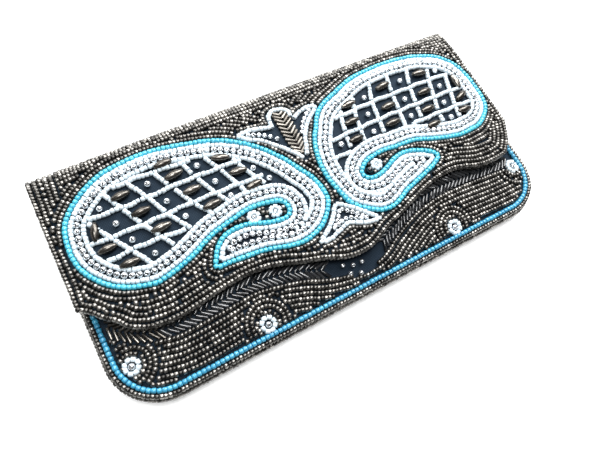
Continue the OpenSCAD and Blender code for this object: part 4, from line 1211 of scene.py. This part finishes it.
class CLUTCH_OT_front(bpy.types.Operator):
    """Lays the front panel's border, rows, flowers, herringbone and the loose silver beads"""

    bl_idname = "clutch.front"
    bl_label = "Front panel"

    def execute(self, context):
        sizes = sizes_in_mm(context)
        cover = Cover(sizes, front_face, on_front)
        white, silver = cover.flowers(FRONT_FLOWERS, SILVER["flower"], ring=2.9, petals=8)
        border = turquoise_beads(sizes)
        border.add(front_face, *string_beads(BORDER_LINE, sizes.turquoise_pitch))
        self.herringbone(sizes)
        turn = np.linspace(0, math.tau, 13)[:-1]
        for centre in FRONT_FLOWERS:
            ring = smooth_curve(centre + 4.0 * headings(turn), True)
            cover.rows(ring, 1.0, 3, closed=True, side=-1)
        cover.rows(HERRING_SPINE, 5.0, 9, side=-1)
        cover.rows(BORDER_LINE, 2.3, 6)
        cover.scatter((-HALF_W, -HALF_L), (HALF_W, MOUTH_Y))
        loose = HoleUpBeads(SILVER["almond"])
        loose.add(front_face, np.array(ALMOND_SILVER), headings(np.zeros(len(ALMOND_SILVER))))
        cover.beads.pieces("front_seed_beads", "gunmetal", "pouch", "gunmetal_beads", ["front_beads"])
        white.pieces("front_flower_white_beads", "white", "pouch", "white_beads", ["front_flowers"])
        silver.pieces("front_flower_silver_beads", "silver", "pouch", "silver_beads", [])
        border.pieces("front_border_beads", "border", "pouch", "turquoise_beads", ["front_border"])
        loose.pieces("almond_silver_beads", "silver", "pouch", "silver_beads", ["front_almond_beads"])
        return {"FINISHED"}

    def herringbone(self, sizes):
        """Pairs of bugles that point along the flap's edge, away from the middle on each side."""
        bugles, pewter = (
            Beads("bugle", sizes.bugle_length, sizes.bugle_diameter, jitter=0.1) for _ in range(2))
        for low, high, point in ((-109, -13.5, 1), (15, 104, -1)):
            part = HERRING_SPINE[(HERRING_SPINE[:, 0] > low) & (HERRING_SPINE[:, 0] < high)]
            places, ways = string_beads(part, HERRING_PITCH)
            normal = np.column_stack([-ways[:, 1], ways[:, 0]])
            for arm in (-1, 1):
                way = ways * math.cos(HERRING_LEAN) * point + normal * arm * math.sin(HERRING_LEAN)
                middle = places + normal * arm * HERRING_ARM
                keep = np.abs(middle[:, 0]) < HERRING_REACH
                middle, way = middle[keep], way[keep]
                left = middle[:, 0] < PEWTER_END_X
                bugles.add(front_face, middle[~left], way[~left])
                pewter.add(front_face, middle[left], way[left])
        pewter.pieces("herringbone_pewter_bugles", "pewter", "pouch", "pewter_beads", [])
        bugles.pieces("herringbone_bugles", "black", "pouch", "black_bugles", ["front_herringbone"])


class CLUTCH_OT_edges(bpy.types.Operator):
    """Lays the rows that roll over the pouch's sides and bottom, the fold's lower half and the back"""

    bl_idname = "clutch.edges"
    bl_label = "Edges and back"

    def execute(self, context):
        sizes = sizes_in_mm(context)
        rim, sides, fold, back = (seed_beads(sizes) for _ in range(4))
        for inset, height in RIM_ROWS:
            self.ring(rim, sizes, inset, height, MOUTH_Y)
        for inset, height in SIDE_ROWS:
            self.ring(sides, sizes, inset, height, ARC_Y)
        for v in np.arange(*FOLD_ROWS, sizes.row_pitch):
            fold.add(fold_face, *self.level_row(sizes, HALF_W - 0.9, v))
        ground, outline = Ground(), pouch_rim(0, ARC_Y) * [1, -1]

        def on_back(places):
            return inside(places, outline) & (distance(places, outline) > BACK_MARGIN)

        for v in np.arange(-ARC_Y + 1.1, HALF_L, sizes.row_pitch):
            back.add(back_face, *ground.lay(*self.level_row(sizes, HALF_W, v), 0.8, on_back))
        rim.pieces("rim_seed_beads", "gunmetal", "pouch", "gunmetal_beads", ["front_edge_beads"])
        sides.pieces("side_seed_beads", "gunmetal", "pouch", "gunmetal_beads", ["side_beads"])
        fold.pieces("fold_seed_beads", "gunmetal", "pouch", "gunmetal_beads", ["fold_beads"])
        back.pieces("back_seed_beads", "gunmetal", "pouch", "gunmetal_beads", ["back_beads"], 3)
        return {"FINISHED"}

    def level_row(self, sizes, reach, v):
        """A straight row across the bag."""
        return string_beads(spaced(np.array([[-reach, v], [reach, v]]), 1, False), sizes.seed_pitch)

    def ring(self, beads, sizes, inset, height, top):
        """One row round the sides and bottom, at a height above the table or on the front panel."""
        places, ways = string_beads(pouch_rim(inset, top), sizes.seed_pitch)
        if height is None:
            beads.add(front_face, places, ways)
            return
        level = np.zeros(len(ways))
        middle = np.column_stack([places, level + height])
        along, up = np.column_stack([ways, level]), np.column_stack([ways[:, 1], -ways[:, 0], level])
        beads.place(middle + random.normal(0, 0.05, middle.shape), along, up)


def bottom_of(us, inset):
    """The pouch's lower end over each place across it, at an inset."""
    r, flat = CORNER_R - inset, HALF_W - CORNER_R
    over = np.clip(np.abs(us) - flat, 0, r)
    return -HALF_L + CORNER_R - np.sqrt(np.maximum(r * r - over * over, 0))


def across(inset, count=121):
    """Places across the bag, closer together near its sides."""
    return (HALF_W - inset) * np.sin(np.linspace(-1, 1, count) * math.pi / 2)


def curved_layer(name, face, us, rows, depth, thick, material):
    """A closed layer under a face of bead tips. Each row holds one place along the face per place across."""
    bm = bmesh.new()
    bmesh.ops.create_grid(bm, x_segments=len(us) - 1, y_segments=len(rows) - 1, size=1)
    added = bmesh.ops.extrude_face_region(bm, geom=bm.faces[:])["geom"]
    lower = {g for g in added if isinstance(g, bmesh.types.BMVert)}
    verts = list(bm.verts)
    flat = np.array([v.co[:2] for v in verts])
    column = np.rint((flat[:, 0] + 1) / 2 * (len(us) - 1)).astype(int)
    row = np.rint((flat[:, 1] + 1) / 2 * (len(rows) - 1)).astype(int)
    u, v = us[column], np.array(rows)[row, column]
    under = depth + thick * np.array([vert in lower for vert in verts])
    for vert, place in zip(verts, face(u, v) - unit(np.cross(*slopes(face, u, v))) * under[:, None]):
        vert.co = Vector(place) * MM
    bmesh.ops.recalc_face_normals(bm, faces=bm.faces)
    return new_piece(name, bm, material)


def rows_between(low, high, count):
    """Rows of a layer between two lines across the bag."""
    return [low * (1 - s) + high * s for s in np.linspace(0, 1, count)]


def rows_over_fold(low, end):
    """Rows of a layer from the flap's edge up and over the fold, dense where it bends."""
    bend = [np.full(len(low), ARC_END_Y + s) for s in np.linspace(0, end - ARC_END_Y, 56)[1:]]
    return rows_between(low, ARC_END_Y, 48) + bend


def finish(piece, body, slot, *nodes):
    """Puts a piece on its body, in place of the CAD nodes it stands for. The slot it is given is not used.
    """
    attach(piece, body)
    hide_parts(*nodes)


def lay_cloth(margins, depth, thick, material, slot, names, nodes):
    """One cloth of the bag as three pieces: over the flap and fold, in the front panel and in the back."""
    side, edge, end, inset = margins
    flap_name, front_name, back_name = names
    flap_node, fold_node, front_node, back_node = nodes
    us = across(side)
    rows = rows_over_fold(edge_height(us) + edge, FOLD_END_V - end)
    flap = curved_layer(flap_name, wrap_face, us, rows, depth, thick, material)
    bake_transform(flap)
    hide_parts(flap_node, fold_node)
    us = across(inset)
    rows = rows_between(bottom_of(us, inset), MOUTH_Y, 60)
    front = curved_layer(front_name, front_face, us, rows, depth, thick, material)
    finish(front, "pouch", slot, front_node)
    back_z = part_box(back_node)[0].z / MM
    rows = rows_between(bottom_of(us, inset), ARC_Y, 24)
    back = curved_layer(back_name, level_face, us, rows, -back_z - thick, thick, material)
    finish(back, "pouch", slot, back_node)


class CLUTCH_OT_cloth(bpy.types.Operator):
    """Makes the ground cloth that the beads are sewn to: over the flap and fold, front, back and sides"""

    bl_idname = "clutch.cloth"
    bl_label = "Ground cloth"

    def execute(self, context):
        lay_cloth(
            CLOTH_MARGINS, LAYER, CLOTH_T, "cloth", "ground_cloth",
            ["flap_and_fold_cloth", "front_ground_cloth", "back_ground_cloth"],
            ["flap_cloth", "fold_cloth", "front_cloth", "back_cloth"])
        low, high = (corner.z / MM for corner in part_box("side_cloth"))
        run = np.linspace(0, 1, 240)
        rows = [np.full(len(run), z) for z in np.linspace(low, high, 6)]
        side = curved_layer("side_ground_cloth", side_face, run, rows, SIDE_CLOTH_DEPTH, CLOTH_T, "cloth")
        finish(side, "pouch", "ground_cloth", "side_cloth")
        return {"FINISHED"}


class CLUTCH_OT_lining(bpy.types.Operator):
    """Makes the satin lining inside the pouch and under the flap, and the piping along the mouth"""

    bl_idname = "clutch.lining"
    bl_label = "Lining"

    def execute(self, context):
        lay_cloth(
            LINING_MARGINS, LINING_DEPTH, LINING_T, "lining", "lining",
            ["flap_and_fold_lining", "front_satin_lining", "back_satin_lining"],
            ["flap_lining", "fold_lining", "front_lining", "back_lining"])
        self.piping()
        return {"FINISHED"}

    def piping(self):
        """A narrow satin roll that closes the front panel's upper edge, pulled out of a circle along it."""
        width, height, depth = 0.55, 1.0, LAYER + 0.85
        xs = across(2.4)
        path = (front_face(xs, np.full(len(xs), MOUTH_Y)) - [0, 0, depth]) * MM
        bm = bmesh.new()
        bmesh.ops.create_circle(bm, segments=12, radius=MM)
        bmesh.ops.scale(bm, verts=bm.verts, vec=(height, width, 1))
        bmesh.ops.rotate(bm, verts=bm.verts, matrix=Matrix.Rotation(math.pi / 2, 3, "Y"))
        bmesh.ops.translate(bm, verts=bm.verts, vec=Vector(path[0]))
        ring = bm.edges[:]
        for step in np.diff(path, axis=0):
            made = bmesh.ops.extrude_edge_only(bm, edges=ring)["geom"]
            ring = [g for g in made if isinstance(g, bmesh.types.BMEdge)]
            moved = [g for g in made if isinstance(g, bmesh.types.BMVert)]
            bmesh.ops.translate(bm, verts=moved, vec=Vector(step))
        bmesh.ops.holes_fill(bm, edges=bm.edges)
        bmesh.ops.recalc_face_normals(bm, faces=bm.faces)
        roll = new_piece("mouth_piping", bm, "lining")
        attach(roll, "pouch")


class CLUTCH_OT_plain_finishes(bpy.types.Operator):
    """Gives the CAD nodes that stay their finishes"""

    bl_idname = "clutch.plain_finishes"
    bl_label = "Carried-over pieces"

    def execute(self, context):
        finishes = {
            "board": ["back_board", "front_board", "flap_board"],
            "nickel": ["snap_socket", "snap_socket_washer", "snap_stud", "snap_stud_washer"],
        }
        for material, nodes in finishes.items():
            for name in nodes:
                node = frame["nodes"][name]
                node.data.materials.clear()
                node.data.materials.append(MATERIALS[material])
        return {"FINISHED"}


class CLUTCH_OT_stage(bpy.types.Operator):
    """Sets up the camera, the white floor, the lamps and the view settings"""

    bl_idname = "clutch.stage"
    bl_label = "Stage"

    def execute(self, context):
        scene = context.scene
        self.camera(scene)
        self.floor()
        self.world(scene)
        for name, place, size, power in LAMPS:
            self.lamp(name, place, size, power)
        scene.view_settings.view_transform = "Standard"
        return {"FINISHED"}

    def camera(self, scene):
        """The photograph's view: close above the bag, from its lower left."""
        data = bpy.data.cameras.new("camera")
        data.sensor_width = 36
        data.lens = LENS
        camera = new_object("camera", data)
        turn = Matrix((Vector(CAMERA_RIGHT), -Vector(CAMERA_DOWN), -Vector(CAMERA_AHEAD))).transposed()
        camera.matrix_world = Matrix.Translation(Vector(CAMERA_PLACE) * MM) @ turn.to_4x4()
        scene.camera = camera

    def floor(self):
        """A sheet of white paper just under the bag."""
        bm = bmesh.new()
        bmesh.ops.create_grid(bm, x_segments=1, y_segments=1, size=3)
        bmesh.ops.translate(bm, verts=bm.verts, vec=(0, 0, -0.2 * MM))
        floor = new_piece("floor", bm, "paper")

    def world(self, scene):
        """White where the camera looks past the bag, and dimmer where the metal beads mirror it."""
        world = bpy.data.worlds.new("studio")
        world.use_nodes = True
        scene.world = world
        tree = world.node_tree
        back = next(n for n in tree.nodes if n.type == "BACKGROUND")
        path = add_node(tree, "ShaderNodeLightPath")
        lit = add_node(tree, "ShaderNodeMapRange", {
            "Value": path.outputs["Is Glossy Ray"], "To Min": 0.2, "To Max": 0.1})
        seen = add_node(tree, "ShaderNodeMath", {
            0: path.outputs["Is Camera Ray"], 1: lit.outputs["Result"]}, operation="MAXIMUM")
        feed(tree, back, {"Color": (1, 1, 1, 1), "Strength": seen.outputs[0]})

    def lamp(self, name, place, size, power):
        """A square soft lamp that points at the bag."""
        data = bpy.data.lights.new(name, "AREA")
        data.size = size
        data.energy = power
        lamp = new_object(name, data)
        lamp.location = place
        lamp.rotation_mode = "QUATERNION"
        lamp.rotation_quaternion = (-Vector(place)).to_track_quat("-Z", "Y")


# In the order in which main calls them.
OPERATORS = (
    CLUTCH_OT_stage, CLUTCH_OT_flap_ground, CLUTCH_OT_paisleys, CLUTCH_OT_leaf, CLUTCH_OT_front,
    CLUTCH_OT_edges, CLUTCH_OT_cloth, CLUTCH_OT_lining, CLUTCH_OT_plain_finishes,
)


class CLUTCH_PT_panel(bpy.types.Panel):
    """Lists what the clutch is built from"""

    bl_label = "Beaded clutch"
    bl_idname = "CLUTCH_PT_panel"
    bl_space_type = "VIEW_3D"
    bl_region_type = "UI"
    bl_category = "Clutch"

    def draw(self, context):
        for group in (context.scene.clutch_beads, context.scene.clutch_colours):
            for name in group.bl_rna.properties.keys():
                if name not in ("rna_type", "name"):
                    self.layout.prop(group, name)
        for operator in OPERATORS:
            self.layout.operator(operator.bl_idname)


CLASSES = (ClutchBeads, ClutchColours, *OPERATORS, CLUTCH_PT_panel)


def register():
    """Registers the classes and puts the sizes and colours on the scene."""
    for c in CLASSES:
        bpy.utils.register_class(c)
    bpy.types.Scene.clutch_beads = bpy.props.PointerProperty(type=ClutchBeads)
    bpy.types.Scene.clutch_colours = bpy.props.PointerProperty(type=ClutchColours)


def unregister():
    """Takes back what register has done."""
    del bpy.types.Scene.clutch_beads
    del bpy.types.Scene.clutch_colours
    for c in reversed(CLASSES):
        bpy.utils.unregister_class(c)


def main():
    """Builds the bag."""
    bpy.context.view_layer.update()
    register()
    MATERIALS.update(make_materials(bpy.context.scene.clutch_colours))
    for operator in OPERATORS:
        group, name = operator.bl_idname.split(".")
        getattr(getattr(bpy.ops, group), name)()


if __name__ == "__main__":
    main()
